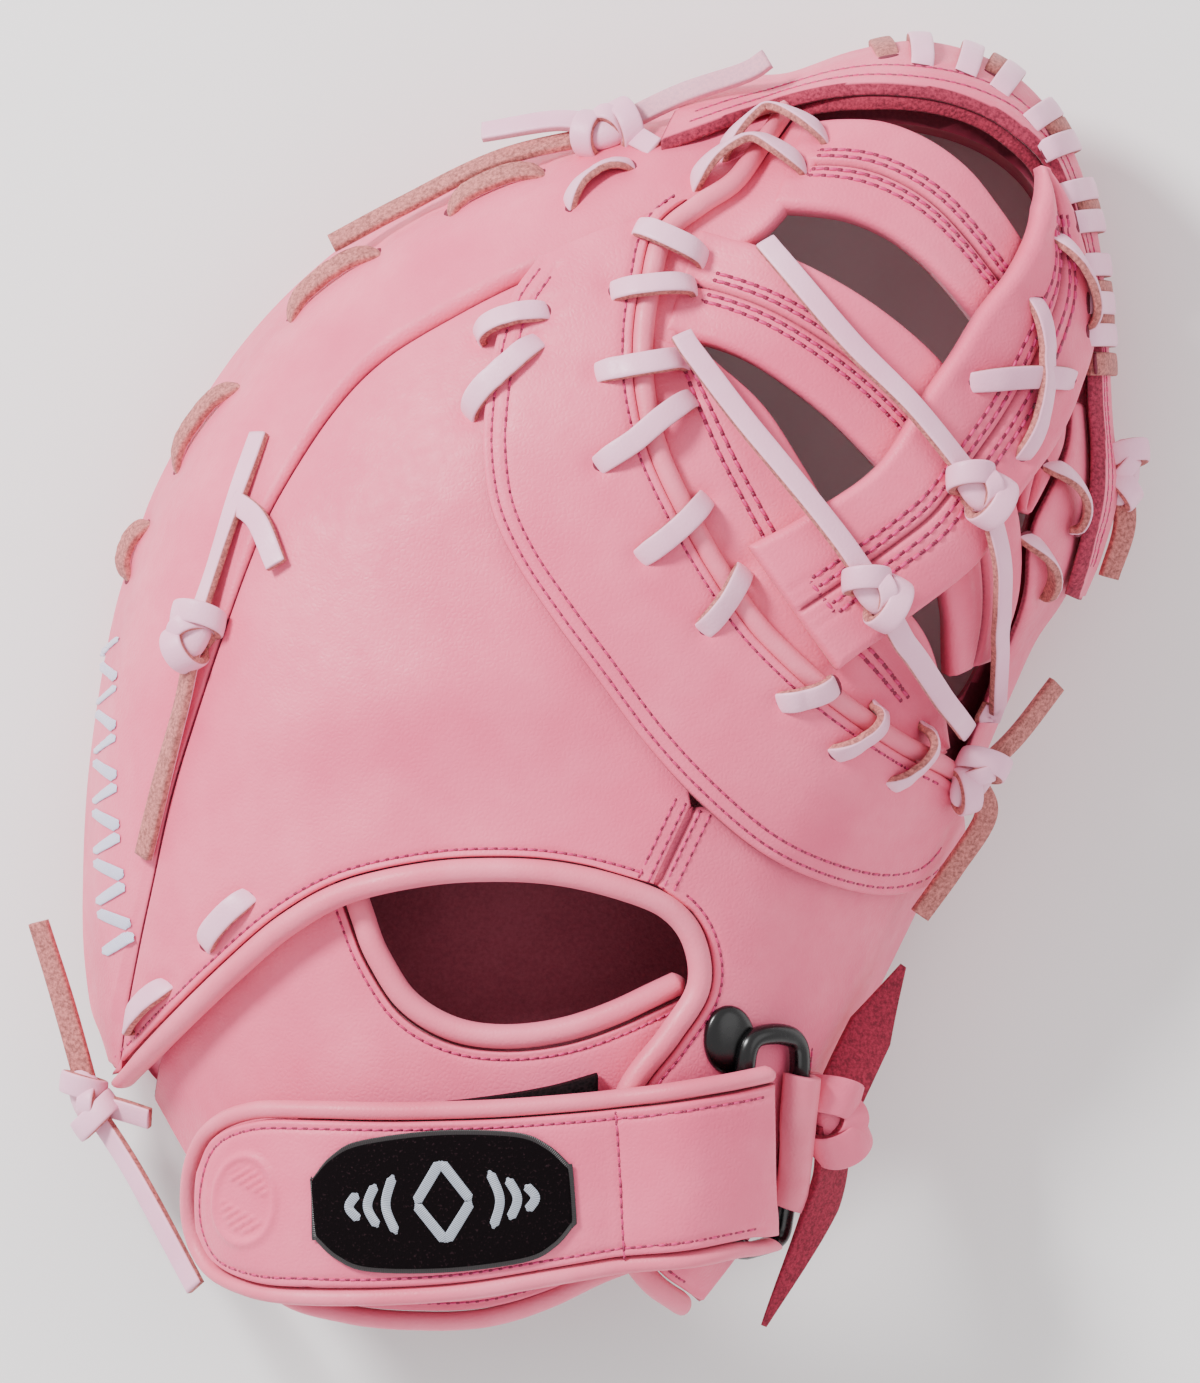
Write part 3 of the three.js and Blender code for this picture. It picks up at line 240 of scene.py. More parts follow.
def round_table(column, turn):
    """A column of values at equal turns, joined by Catmull-Rom cubics that close on themselves."""
    step = turn / (2 * np.pi) * len(column)
    i = np.floor(step).astype(int)
    return cubic(*(column[(i + k) % len(column)] for k in (-1, 0, 1, 2)), step - i)


SOFT_WAVES = np.random.default_rng(7)
WAVE_TURN = SOFT_WAVES.uniform(0, 2 * np.pi, 14)
WAVE_LONG = SOFT_WAVES.uniform(26, 70, 14)  # millimetres from crest to crest
WAVE_FROM = SOFT_WAVES.uniform(0, 2 * np.pi, 14)


def softness(p):
    """Slight unevenness of padded leather: fourteen plane waves of 26 to 70 mm, summed."""
    push = (p[..., 0, None] * np.cos(WAVE_TURN) + p[..., 1, None] * np.sin(WAVE_TURN)) * 2 * np.pi / WAVE_LONG
    return (np.sin(push + WAVE_FROM) * WAVE_LONG / 70).sum(-1) * 0.13


def height(p):
    """Height of the back over plan points.

    Out from the hub it follows a Hermite curve through the six heights of that direction, with no slope at the
    hub and harmonic-mean slopes between, and runs on straight past the edge."""
    away = p - HUB
    turn = np.arctan2(away[..., 1], away[..., 0]) % (2 * np.pi)
    reach = np.hypot(away[..., 0], away[..., 1]) / rim_radius(turn)
    h = np.stack([np.ones_like(turn)] + [round_table(column, turn) for column in SPOKES.T], -1)
    rate = np.diff(h, axis=-1) / np.diff(SPOKE_REACH)
    both = rate[..., :-1] * rate[..., 1:]
    total = rate[..., :-1] + rate[..., 1:]
    middle = np.where(both > 0, 2 * both / np.where(both > 0, total, 1), 0)
    slope = np.concatenate([np.zeros_like(turn)[..., None], middle, rate[..., -1:]], -1)
    i = np.clip(np.searchsorted(SPOKE_REACH, reach, side="right") - 1, 0, 4)
    span = SPOKE_REACH[i + 1] - SPOKE_REACH[i]
    f = (reach - SPOKE_REACH[i]) / span
    h0, h1, m0, m1 = (
        np.take_along_axis(a, (i + k)[..., None], -1)[..., 0] for a in (h, slope) for k in (0, 1))
    inside = (h0 * (1 + 2 * f) * (1 - f) ** 2 + h1 * f * f * (3 - 2 * f)
              + span * m0 * f * (1 - f) ** 2 + span * m1 * f * f * (f - 1))
    beyond = h[..., -1] + slope[..., -1] * (reach - 1)
    return RISE * np.where(reach < 1, inside, beyond) + softness(p)


def facing(p):
    """Outward directions of the back over plan points, from heights 1.5 mm to each side."""
    d = 1.5
    east, north = np.array([d, 0]), np.array([0, d])
    return unit(np.stack([
        (height(p - east) - height(p + east)) / (2 * d),
        (height(p - north) - height(p + north)) / (2 * d),
        np.ones(p.shape[:-1])], -1))


def skin(p, lift):
    """Plan points raised onto the back and then out of it by lift."""
    lift = np.broadcast_to(np.asarray(lift, float), p.shape[:-1])
    return np.concatenate([p, height(p)[..., None]], -1) + facing(p) * lift[..., None]


def grid_faces(rows, columns, wrap_rows=False, wrap_columns=False, first=0):
    """Quads between the neighbours of a grid of points that are numbered row by row."""
    index = first + np.arange(rows * columns).reshape(rows, columns)
    if wrap_rows:
        index = np.vstack([index, index[:1]])
    if wrap_columns:
        index = np.hstack([index, index[:, :1]])
    return np.stack([index[:-1, :-1], index[:-1, 1:], index[1:, 1:], index[1:, :-1]], -1).reshape(-1, 4)


def tube_faces(rings, corners):
    """Faces of a stack of rings, closed at both ends by one face each."""
    last = (rings - 1) * corners
    return [grid_faces(rings, corners, wrap_columns=True), np.arange(corners)[None, ::-1],
            last + np.arange(corners)[None]]


def made(name, points, faces, finish, slot, nodes=(), outward=True, **marks):
    """A piece from points in millimetres and lists of faces, on the mitt's one body.

    With outward set, the faces are turned over where the enclosed volume, a sum of corner products, is negative.
    Each mark is one value a point, which the finish reads."""
    if outward:
        fans = np.concatenate([f[:, [0, k, k + 1]] for f in faces for k in range(1, f.shape[1] - 1)])
        a, b, c = (points[fans[:, k]] for k in range(3))
        if (a * np.cross(b, c)).sum() < 0:
            faces = [f[:, ::-1] for f in faces]
    mesh = bpy.data.meshes.new(name)
    mesh.from_pydata((points * MM).tolist(), [], [corner for f in faces for corner in f.tolist()])
    mesh.polygons.foreach_set("use_smooth", np.ones(len(mesh.polygons), bool))
    for mark, values in marks.items():
        layer = mesh.attributes.new(mark, "FLOAT", "POINT")
        layer.data.foreach_set("value", np.broadcast_to(values, len(points)).astype(np.float32))
    mesh.materials.append(finish)
    piece = bpy.data.objects.new(name, mesh)
    bpy.context.collection.objects.link(piece)
    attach(piece, "root")
    if nodes:
        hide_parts(*nodes)
    return piece


def steerhide(name, face, deep, flesh, gloss=0.5, grain=0.22):
    """Drum-dyed full-grain steerhide with a light finish.

    Pores about 1.3 mm apart give a fine even pebble, dye takes a little unevenly over 20 to 40 mm, and the mark
    raw turns the colour to the fuzzy flesh side of cut edges and undersides, whose tufts are about 1 mm."""
    finish, tree = blank(name)
    spot = add(tree, "TexCoord").outputs["Object"]
    blotch = add(tree, "TexNoise", {"Scale": 34.0, "Detail": 3.0, "Roughness": 0.55}, {"Vector": spot})
    mottle = add(tree, "TexNoise", {"Scale": 240.0, "Detail": 5.0, "Roughness": 0.6}, {"Vector": spot})
    pores = add(tree, "TexVoronoi", {"feature": "DISTANCE_TO_EDGE", "Scale": 780.0}, {"Vector": spot})
    fuzz = add(tree, "TexNoise", {"Scale": 1100.0, "Detail": 4.0, "Roughness": 0.7}, {"Vector": spot})
    raw = add(tree, "Attribute", {"attribute_name": "raw"}).outputs["Fac"]
    unevenly = add(tree, "MapRange", {"From Min": 0.35, "From Max": 0.7}, {"Value": blotch.outputs[0]})
    dyed = mixed(tree, face, deep, unevenly.outputs[0])
    fleck = add(tree, "MapRange", {"From Min": 0.4, "From Max": 0.75, "To Max": 0.3}, {"Value": mottle.outputs[0]})
    toned = add(tree, "Mix", {"data_type": "RGBA", 7: linear(deep)}, {0: fleck.outputs[0], 6: dyed})
    tuft = add(tree, "MapRange", {"From Min": 0.36, "From Max": 0.64, "To Min": 0.5, "To Max": 1.3},
               {"Value": fuzz.outputs[0]})
    nap = add(tree, "VectorMath", {"operation": "SCALE", 0: linear(flesh)[:3]}, {"Scale": tuft.outputs[0]})
    colour = add(tree, "Mix", {"data_type": "RGBA"}, {0: raw, 6: toned.outputs[2], 7: nap.outputs[0]})
    shine = add(tree, "MapRange", {"From Min": 0.3, "From Max": 0.7, "To Min": gloss - 0.06, "To Max": gloss + 0.1},
                {"Value": mottle.outputs[0]})
    rough = add(tree, "Mix", {"data_type": "FLOAT", 3: 0.95}, {0: raw, 2: shine.outputs[0]})
    pebble = add(tree, "MapRange", {"From Max": 0.35}, {"Value": pores.outputs["Distance"]})
    shaggy = add(tree, "Math", {"operation": "MULTIPLY_ADD", 1: 2.5, 2: 0.3}, {0: raw})
    rise = add(tree, "Math", {"operation": "MULTIPLY_ADD"},
               {0: fuzz.outputs[0], 1: shaggy.outputs[0], 2: pebble.outputs[0]})
    shaded(tree, {"Specular IOR Level": 0.4, "Sheen Weight": 0.08, "Sheen Roughness": 0.4},
           {"Base Color": colour.outputs[2], "Roughness": rough.outputs[0]}, grain, 0.00025, rise.outputs[0])
    return finish


PALM_SIDES, PALM_TOP_STEPS, PALM_BOWL_STEPS = 288, 36, 30
PALM_ROUGH_SHADED_RINGS = 33  # rings of the upper face that show the rough side of the hide, darkened further as painted shade of the hollow
turns = equal_turns(PALM_SIDES)
round_way = oval(turns)
palm_reach = rim_radius(turns) * round_table(PALM_EDGE[:, 0], turns)
palm_cap = RISE * round_table(PALM_EDGE[:, 1], turns)


def palm_face(share, level):
    """A ring of the palm at a share of the way out and a share of the rise."""
    return np.column_stack([HUB + round_way * (palm_reach * share)[:, None], np.full(PALM_SIDES, RISE * level)])


def palm_rim(share, part):
    """A ring that follows the back's underside, held down to a part of the greatest edge height."""
    ring = skin(HUB + round_way * (palm_reach * share)[:, None], -LEATHER - CLEAR)
    ring[:, 2] = np.minimum(ring[:, 2], palm_cap * part)
    return ring


def palm_low(inset, level):
    """A ring round the lip, inset from the foot of the wall."""
    ring = skin(HUB + round_way * palm_reach[:, None], -LEATHER - CLEAR)
    ring[:, :2] -= round_way * inset
    ring[:, 2] = level
    return ring


upper = [palm_face(share, top) for share, top, _ in PALM_DEPTH] + [palm_rim(0.975, 1), palm_rim(1, 0.8)]
lower = [palm_low(LEATHER + PALM_LIP, 0)] + [palm_face(share, under) for share, _, under in PALM_DEPTH[::-1]]
rings = curve(np.stack(upper).reshape(len(upper), -1), PALM_TOP_STEPS).reshape(-1, PALM_SIDES, 3)
foot = np.stack([palm_low(0, LEATHER), palm_low(LEATHER * 0.3, LEATHER * 0.3), palm_low(LEATHER, 0)])
bowl = curve(np.stack(lower).reshape(len(lower), -1), PALM_BOWL_STEPS).reshape(-1, PALM_SIDES, 3)
bowl[..., 2] = np.maximum(bowl[..., 2], 0)
palm_rings = np.concatenate([rings, foot, bowl])
# The palm's dark flesh colour, mixed three quarters into its upper face, is partly the rough lining and partly painted
# shade of the hollow under the back.
palm_hide = steerhide("oiled_pink_palm_steerhide", "#E0607F", "#C94B6C", "#5C2A30", gloss=0.55)
palm_rough_and_shade = np.repeat((np.arange(len(palm_rings)) < PALM_ROUGH_SHADED_RINGS) * 0.75, PALM_SIDES)
padded_palm = made("padded_palm", palm_rings.reshape(-1, 3), tube_faces(len(palm_rings), PALM_SIDES), palm_hide,
                   "palm_leather", ["palm"], raw=palm_rough_and_shade)
window = curve(WEB_WINDOW, 160, closed=True)[:0:-1]
cutter_mesh = bpy.data.meshes.new("window_cutter")
walls = np.concatenate([np.column_stack([window, np.full(len(window), z)]) for z in (-50.0, 150.0)]) * MM
cutter_mesh.from_pydata(walls.tolist(), [], [corner for f in tube_faces(2, len(window)) for corner in f.tolist()])
cutter = bpy.data.objects.new("window_cutter", cutter_mesh)
bpy.context.collection.objects.link(cutter)
opened = padded_palm.modifiers.new("window", "BOOLEAN")
opened.operation, opened.object, opened.solver = "DIFFERENCE", cutter, "EXACT"
shaped = bpy.data.meshes.new_from_object(padded_palm.evaluated_get(bpy.context.evaluated_depsgraph_get()))
padded_palm.modifiers.clear()
padded_palm.data = shaped
bpy.data.objects.remove(cutter)

# Finger back. One large panel of pink steerhide from the crown to the hand opening. Its edges are turned in where
# they meet the finger side, and a line of thread follows the bound opening.
FINGER_SEAM = [
    (-114.9, -96.3), (-113, -82.6), (-109.5, -65.4), (-105.6, -48.3), (-101.2, -28.7), (-95.3, -9.1), (-89, 10.5),
    (-82.1, 30.1), (-75.5, 45.6), (-62.7, 66.2), (-49.5, 80.1), (-30.9, 91.4), (-13, 100), (3.7, 106.3),
    (19.6, 113), (36.8, 120.8),
]
OPENING_EDGE = [
    (-115.9, -99.7), (-102.2, -85.5), (-85.8, -69.8), (-72.3, -58.6), (-57.6, -50.7), (-38, -46.3), (-20.8, -45.3),
    (-6.1, -46.3), (8.6, -49.7), (20.3, -54.6), (26.7, -62.5), (27.9, -74), (20.8, -85.5), (11, -98.5),
    (6.6, -114.4), (9.1, -134), (15.9, -145.8), (25.2, -153.1),
]
THUMB_SEAM = np.array([
    (17.2, -49), (26.2, -30.1),
])
BACK_UNDER = [
    (24.3, -18.9), (15.9, -4.2), (6.1, 11.8), (-2.5, 27.7), (-8.1, 44.8), (-9.8, 62), (-7.1, 79.1),
    (0.7, 92.6), (9.6, 102.2), (17.6, 111.2),
]
SEAM = 0.5
BINDING = 3.0  # radius of the rolled bindings
BACK_SEAM = 0.562  # share of the opening's edge where the back meets the thumb panel
# Each lace: how far its stitches bow, and the stitches. Columns: from x, from y, to x, to y, lean in radians
LACES = {
    "heel_lace": (0.02, [(-93.1, -64.2, -82.1, -51.9, 0.2), (-112.7, -85, -102.9, -74, 0.2)]),
    "rim_lace": (0.03, [
        (-113.9, 26.2, -108.8, 39.5, 0.3), (-101.2, 52.7, -85.5, 72.8, 0.3), (-72.3, 89.4, -50.7, 105.1, 0.3),
        (-32.6, 114.9, -10.3, 124.2, 0.3)]),
    "tip_lace": (0.05, [(-3.7, 116.4, 11.5, 125.7, -0.5)]),
    "index_lace": (0.02, [(-25.7, 84, -8.6, 88.9, -0.2), (-10.5, 81.6, -28.2, 65.4, -0.2)]),
    "web_lace": (-0.03, [
        (13.5, 109, 28.7, 103.2, -0.1), (7.4, 93.8, 26.2, 96.3, -0.3), (3.7, 74.2, 24.3, 78.2, -0.1),
        (3.7, 52.2, 25.7, 68.9, 0.1), (13.5, 30.1, 29.2, 44.4, 0.1), (28.2, 13, 38.5, 27.2, 0.5),
        (46.6, -4.2, 59.1, 0.2, 0.3), (58.8, -16.4, 71.3, -6.1, 0.55), (72.3, -23.8, 83.6, -11, 0.6)]),
    "finger_web_lace": (0.14, [(33.6, 129.1, 58.1, 133.5, -0.75), (26.7, 121.8, 52.7, 126.2, -0.8)]),
    "post_lace": (0.05, [
        (112, 108.1, 119.3, 87, -0.55), (106.1, 93.1, 103.2, 54.6, -0.35), (91.2, 73, 114.9, 74.2, 0.0)]),
    "thumb_lace": (0.14, [(114.4, 53.2, 119.8, 38, -0.5), (109, 35, 113.5, 21.3, -0.6)]),
}
HOLES = np.array([row[k : k + 2] for _, rows in LACES.values() for row in rows for k in (0, 2)])
# Depth and half width, in millimetres, of what is pressed or drawn into the leather
DENT, GROOVE, FOLD, PINCH = (0.9, 3.2), (0.35, 0.9), (1.8, 0.6), (0.9, 1.7)
CHAMFER_DEEP = 2.0
SEAM_STITCH = 2.3  # millimetres between the hidden stitches that pinch the turned seam


def spread(rows):
    """Shares from 0 to 1 that stand closer towards both ends: three parts cosine, one part even steps."""
    t = np.linspace(0, 1, rows)
    return 0.25 * t + 0.375 * (1 - np.cos(np.pi * t))


def rolled(gap, radius):
    """How far a face drops at a distance from its edge: a quarter circle of this radius, nothing further in."""
    left = radius - np.minimum(gap, radius)
    return radius - np.sqrt(np.maximum(radius * radius - left * left, 0))


def nearness(p, line, wide):
    """One on a plan line and falling off to each side as a bell of this width, in millimetres."""
    a, b = line[:-1], line[1:]
    flat = p.reshape(-1, 1, 2)
    t = np.clip(((flat - a) * (b - a)).sum(-1) / ((b - a) ** 2).sum(-1), 0, 1)
    gap = np.linalg.norm(flat - a - (b - a) * t[..., None], axis=-1).min(1)
    return bell(gap, wide).reshape(p.shape[:-1])


def dented(p):
    """Leather drawn in round each lace hole: a bell, 0.9 mm deep."""
    gap = np.linalg.norm(p[..., None, :] - HOLES, axis=-1).min(-1)
    return -DENT[0] * bell(gap, DENT[1])


def straight(a, b, steps):
    """Points from a to b, without the first."""
    return a + (b - a) * (np.arange(1, steps + 1) / steps)[:, None]


pink_hide = steerhide("pink_full_grain_steerhide", "#F26E8D", "#E5597D", "#9C3049")
carried = {}  # plan points and lifts of each piece's upper face, by its name


def panel(name, a, b, rows, top, under, nodes=(), finish=pink_hide, slot="shell_leather", edge=1.2, cut=True,
          grooves=(), folds=(), bulge=0.0, chamfer=0.0, relief=None):
    """A leather panel between two plan lines, closed all round.

    Row by row it runs from a to b. The upper face is the back raised by top, less an edge rolled to the radius
    edge, which may be a pair for a and b, less the dents, grooves and folds, with a bulge that follows the square
    root of a parabola across. A chamfer slopes the raw edge at a over its width. The lower face is the back
    raised by under. Cut edges and the lower face are raw."""
    s = spread(rows)[:, None]
    plan = a[None] * (1 - s[..., None]) + b[None] * s[..., None]
    wide = np.linalg.norm(b - a, axis=1)
    gone = travelled(plan[rows // 2])
    gap = np.minimum(np.minimum(s * wide, (1 - s) * wide), np.minimum(gone, gone[-1] - gone))
    near, far = edge if isinstance(edge, tuple) else (edge, edge)
    radius = np.where(s < 0.5, near(gone / gone[-1]) if callable(near) else near, far)
    lift = top - rolled(gap, radius) + bulge * np.sqrt(np.maximum(4 * s * (1 - s), 0))
    calm = np.clip(gap / 2, 0, 1)
    lift = lift + dented(plan) * calm
    for lines, (deep, half) in ((grooves, GROOVE), (folds, FOLD)):
        for line in lines:
            lift = lift - deep * nearness(plan, line, half) * calm
    if relief is not None:
        lift = lift + relief(plan) * calm
    if chamfer:
        lift = lift - CHAMFER_DEEP * np.clip(1 - s * wide / chamfer, 0, 1)
    carried[name] = (plan[::2, ::2].reshape(-1, 2), lift[::2, ::2].ravel())
    low = np.minimum(under + rolled(gap, 0.3) * cut, lift - 0.4)
    points = np.concatenate([skin(plan, lift), skin(plan, low)[::-1]])
    count = len(a)
    faces = [grid_faces(2 * rows, count, wrap_rows=True)]
    j = np.arange(rows - 1)
    for column in (0, count - 1):
        above, below = j * count + column, (2 * rows - 1 - j) * count + column
        faces.append(np.stack([above, below, below - count, above + count], 1)[:, :: 1 if column else -1])
    raw = np.zeros(points.shape[:2])
    raw[rows:] = 1
    raw[:rows][(gap < 0.02) | (s * wide < chamfer)] = 1
    if not cut:
        raw[:] = 0
    for line in folds:
        raw[:rows] = np.maximum(raw[:rows], np.clip(nearness(plan, line, FOLD[1]) * calm * 1.6 - 0.6, 0, 1))
    return made(name, points.reshape(-1, 3), faces, finish, slot, nodes, raw=raw.ravel())


def resting(p, *names):
    """Lift of whatever lies on top at plan points: that of the nearest point of each named panel, or of them all."""
    best = np.full(len(p), -9.0)
    for name in names or carried:
        plan, lift = carried[name]
        gap = ((p[:, None] - plan) ** 2).sum(-1)
        near = gap.argmin(1)
        best = np.maximum(best, np.where(gap[np.arange(len(p)), near] < 9.0, lift[near], -9))
    return np.where(best < -8, 0, best)


opening_fine = curve(OPENING_EDGE, 260)
back_bound = shifted(curve(OPENING_EDGE, 144, 0, BACK_SEAM * 0.9), BINDING + FIT)
thumb_turn = shifted(THUMB_SEAM, SEAM / 2)
back_top = curve(BACK_UNDER, 130)
finger_back_low = np.concatenate([
    back_bound, straight(back_bound[-1], thumb_turn[0], 12), straight(thumb_turn[0], thumb_turn[1], 12),
    straight(thumb_turn[1], back_top[0], 12), back_top[1:]])
opening_thread = shifted(opening_fine, BINDING + FIT + 1.9)


def seam_radius(share):
    """The turned edge at the finger seam is 3.4 mm round at the fingertips and flattens towards the heel."""
    return 3.4 * np.clip((share - 0.22) / 0.5, 0.12, 1)


def pinched(p):
    """Small pinches along the turned seam: a bell across it times the square of a wave of one stitch along it."""
    flat = p.reshape(-1, 2)
    fine = curve(FINGER_SEAM, 500)
    at = ((flat[:, None] - fine[None, ::4]) ** 2).sum(-1).argmin(1) * 4
    long = travelled(fine)[-1] / 500
    wave = 0.5 - 0.5 * np.cos(at * long * 2 * np.pi / SEAM_STITCH)
    return (-PINCH[0] * bell(np.linalg.norm(flat - fine[at], axis=1), PINCH[1]) * wave ** 2).reshape(p.shape[:-1])


finger_back_up = curve(FINGER_SEAM, len(finger_back_low) - 1, 0, 0.955)
panel("finger_back_panel", finger_back_up, finger_back_low, 110, 0, -LEATHER, ["finger_back"],
      edge=(seam_radius, 1.0), grooves=[opening_thread], relief=pinched)

# Finger side. The outer panel from the fingertips down the little finger's side to the heel. It is rolled at the
# seam and again at the rim, where it turns under to meet the palm.
FINGER_RIM = [
    (-118.4, -94.3), (-123.3, -75.2), (-125, -53.2), (-123.5, -18.9), (-116.9, 20.3), (-105.9, 51.9), (-86.5, 83.6),
    (-62, 108.1), (-32.6, 126.4), (-5.6, 137), (15.9, 143.6), (36.8, 148), (55.6, 149.2),
]
rim_middle = (curve(FINGER_SEAM, 80) * 0.45 + curve(FINGER_RIM, 80) * 0.55)[4:-8]


def finger_roll(p):
    """The padded roll of the finger side: a bell 9 mm wide and 2.2 mm high along its middle, over the pinches."""
    return 2.2 * nearness(p, rim_middle, 9.0) + pinched(p)


panel("finger_side_panel", shifted(curve(FINGER_SEAM, 320), SEAM), curve(FINGER_RIM, 320), 80, 0, -LEATHER,
      ["finger_side"], edge=(seam_radius, 1.0), relief=finger_roll)

# Side panel. A second layer laid over the finger back, cut and stitched down with two rows of thread, and padded
# where it reaches the welt of the web.
SIDE_PANEL_EDGE = [
    (-9.8, 102.2), (-16.7, 92.6), (-20.6, 81.6), (-23, 68.1), (-24, 55.4), (-22.3, 42.1), (-16.7, 29.2),
    (-7.4, 14.9), (3.7, 0), (14.9, -14.9), (27.2, -28.7), (41.2, -40.4), (55.1, -47.3), (69.3, -50.7),
    (80.9, -48.8), (87.5, -42.9), (90.9, -36),
]
WELT = [
    (50.7, 139.9), (44.1, 130.6), (36.8, 121.3), (28.2, 115.4), (19.4, 107.8), (15.9, 95.1), (14.2, 81.6),
    (14.9, 68.1), (18.4, 54.6), (24.5, 41.2), (31.9, 27.7), (40.9, 14.9), (51.9, 3.7), (63.7, -6.1),
    (75.5, -14), (85.8, -19.4), (91.9, -23.8),
]
WELT_RADIUS = 2.6
OVERLAY_LIFT = 1.2
OVERLAY = OVERLAY_LIFT + LEATHER
side_edge = curve(SIDE_PANEL_EDGE, 240)
side_threads = [shifted(side_edge, 2.2), shifted(side_edge, 5.4)]
welt_line = curve(WELT, 240)
welt_thread = shifted(curve(WELT, 240, 0.17, 0.985), -WELT_RADIUS - FIT - 1.7)
panel("side_panel_overlay", side_edge, shifted(curve(WELT, 240, 0.17, 0.985), -WELT_RADIUS + 0.3), 70,
      OVERLAY, OVERLAY_LIFT, ["side_panel"], edge=0.9,
      grooves=[*side_threads, welt_thread], bulge=1.1)

# Thumb panels. The panel from the side panel down to the wrist, and the narrow one along the thumb outside the web.
THUMB_WRIST_RIM = [
    (94.8, -29.9), (91.9, -39), (82.8, -58.1), (73, -77.7), (64.4, -94.8), (55.1, -113.2), (43.4, -133.5),
    (29.2, -152.2),
]
THUMB_WEB_EDGE = [
    (121.3, 69.3), (120.3, 59.5), (117.4, 51.7), (113.9, 44.6), (111.3, 39), (109.8, 32.1), (109.3, 20.8),
    (106.3, 10), (102.9, 2.2), (99.7, -7.1), (96.1, -16.4), (93.9, -26.2),
]
THUMB_RIM = [
    (128.2, 69.3), (129.1, 59.5), (130.1, 48.5), (126.2, 33.8), (119.6, 20.3), (113, 10.5), (106.8, -2.9),
    (101.7, -14.7), (97.3, -26.2),
]
thumb_bound = shifted(curve(OPENING_EDGE, 120, BACK_SEAM + (1 - BACK_SEAM) / 13, 1), BINDING + FIT)
thumb_turn_out = shifted(THUMB_SEAM, -SEAM / 2)[::-1]
thumb_inner = np.concatenate([
    thumb_turn_out[:1], straight(thumb_turn_out[0], thumb_turn_out[1], 12),
    straight(thumb_turn_out[1], thumb_bound[0], 12), thumb_bound[1:]])
short_threads = [shifted(curve(THUMB_SEAM, 20), gap) for gap in (-4.6, -2.0, 2.0, 4.6)]
panel("thumb_wrist_panel", thumb_inner, curve(THUMB_WRIST_RIM, len(thumb_inner) - 1), 70, 0, -LEATHER,
      ["thumb_wrist"], edge=1.6, grooves=[opening_thread])
panel("thumb_web_panel", curve(THUMB_WEB_EDGE, 120), curve(THUMB_RIM, 120), 30, 0, -LEATHER, ["thumb_web"],
      edge=1.6)

# Wrist panel. A softer panel across the wrist, set in under the back, with its own bound cut-out over the hand.
WRIST_TOP = [
    (-111.5, -96.8), (-102.9, -82.6), (-89, -66.7), (-73.5, -54.4), (-63.5, -46.8),
]
WRIST_BOTTOM = [
    (-113, -105.1), (-106.6, -115.7), (-96.3, -131.6),
]
CUTOUT_EDGE = [
    (-58.8, -49.3), (-56.6, -56.8), (-52.7, -66.7), (-44.8, -77.7), (-33.6, -84.5), (-20.8, -86.7), (-6.1, -85.3),
    (8.6, -80.9), (26.7, -73.3),
]
WRIST_EDGE = [
    (-93.1, -136), (-79.1, -152.2), (-60, -158), (-40.4, -159), (-23.3, -157.8), (-6.1, -153.1), (8.6, -146.3),
    (17.2, -142.4),
]
WRIST_BINDING = 2.4
WRIST_LEVEL = -LEATHER / 2 - BINDING * 2 - FIT * 3
cutout_side = shifted(curve(CUTOUT_EDGE, 132), -BINDING - FIT * 2)
wrist_top = curve(WRIST_TOP, 36)
wrist_upper = np.concatenate([wrist_top, straight(wrist_top[-1], cutout_side[0], 12), cutout_side[1:]])
wrist_side = curve(WRIST_BOTTOM, 24)
wrist_low = shifted(curve(WRIST_EDGE, len(wrist_upper) - 1 - 24 - 12), WRIST_BINDING + FIT)
wrist_lower = np.concatenate([wrist_side, straight(wrist_side[-1], wrist_low[0], 12), wrist_low[1:]])
cutout_thread = shifted(curve(CUTOUT_EDGE, 160), -BINDING - FIT - 2.2)
wrist_thread = shifted(curve(WRIST_EDGE, 160), WRIST_BINDING + FIT + 2.0)
panel("wrist_cross_panel", wrist_upper, wrist_lower, 64, WRIST_LEVEL + LEATHER / 2, WRIST_LEVEL - LEATHER / 2,
      ["wrist_panel"], edge=0.6, grooves=[cutout_thread, wrist_thread])

# Bindings and welt. Strips of the same hide, rolled over a cord and stitched down along the open edges.


def ring_of(radius, tall, sides=16):
    """A section round a roll: an ellipse radius wide and tall high."""
    return oval(equal_turns(sides, 0.5), radius, tall)


def swept(path, across, section, closed=False, grow=1.0):
    """A section of [across, up] points carried along a path, with the ends closed by a fan to their middles.

    The way is the path's central difference and up is way cross across. grow scales the section at each stop."""
    if closed:
        way = unit(np.roll(path, -1, 0) - np.roll(path, 1, 0))
    else:
        way = unit(np.gradient(path, axis=0))
    up = unit(np.cross(way, across))
    grow = np.broadcast_to(np.asarray(grow, float), len(path))[:, None, None]
    points = (path[:, None] + across[:, None] * section[None, :, :1] * grow
              + up[:, None] * section[None, :, 1:] * grow).reshape(-1, 3)
    count, corners = len(path), len(section)
    faces = [grid_faces(count, corners, wrap_rows=closed, wrap_columns=True)]
    if not closed:
        k = np.arange(corners)
        n = (k + 1) % corners
        last = (count - 1) * corners
        points = np.concatenate([points, path[:1], path[-1:]])
        faces.append(np.stack([n, k, np.full(corners, len(points) - 2)], 1))
        faces.append(np.stack([last + k, last + n, np.full(corners, len(points) - 1)], 1))
    return points, faces


def lying(plan, closed=False):
    """Directions across a plan line, in the back's own surface: facing cross the way."""
    way = np.roll(plan, -1, 0) - np.roll(plan, 1, 0) if closed else np.gradient(plan, axis=0)
    return unit(np.cross(facing(plan), np.column_stack([way, np.zeros(len(plan))])))


binding_hide = steerhide("pink_binding_glove_leather", "#F07A94", "#E3637F", "#9C3049", gloss=0.46, grain=0.15)


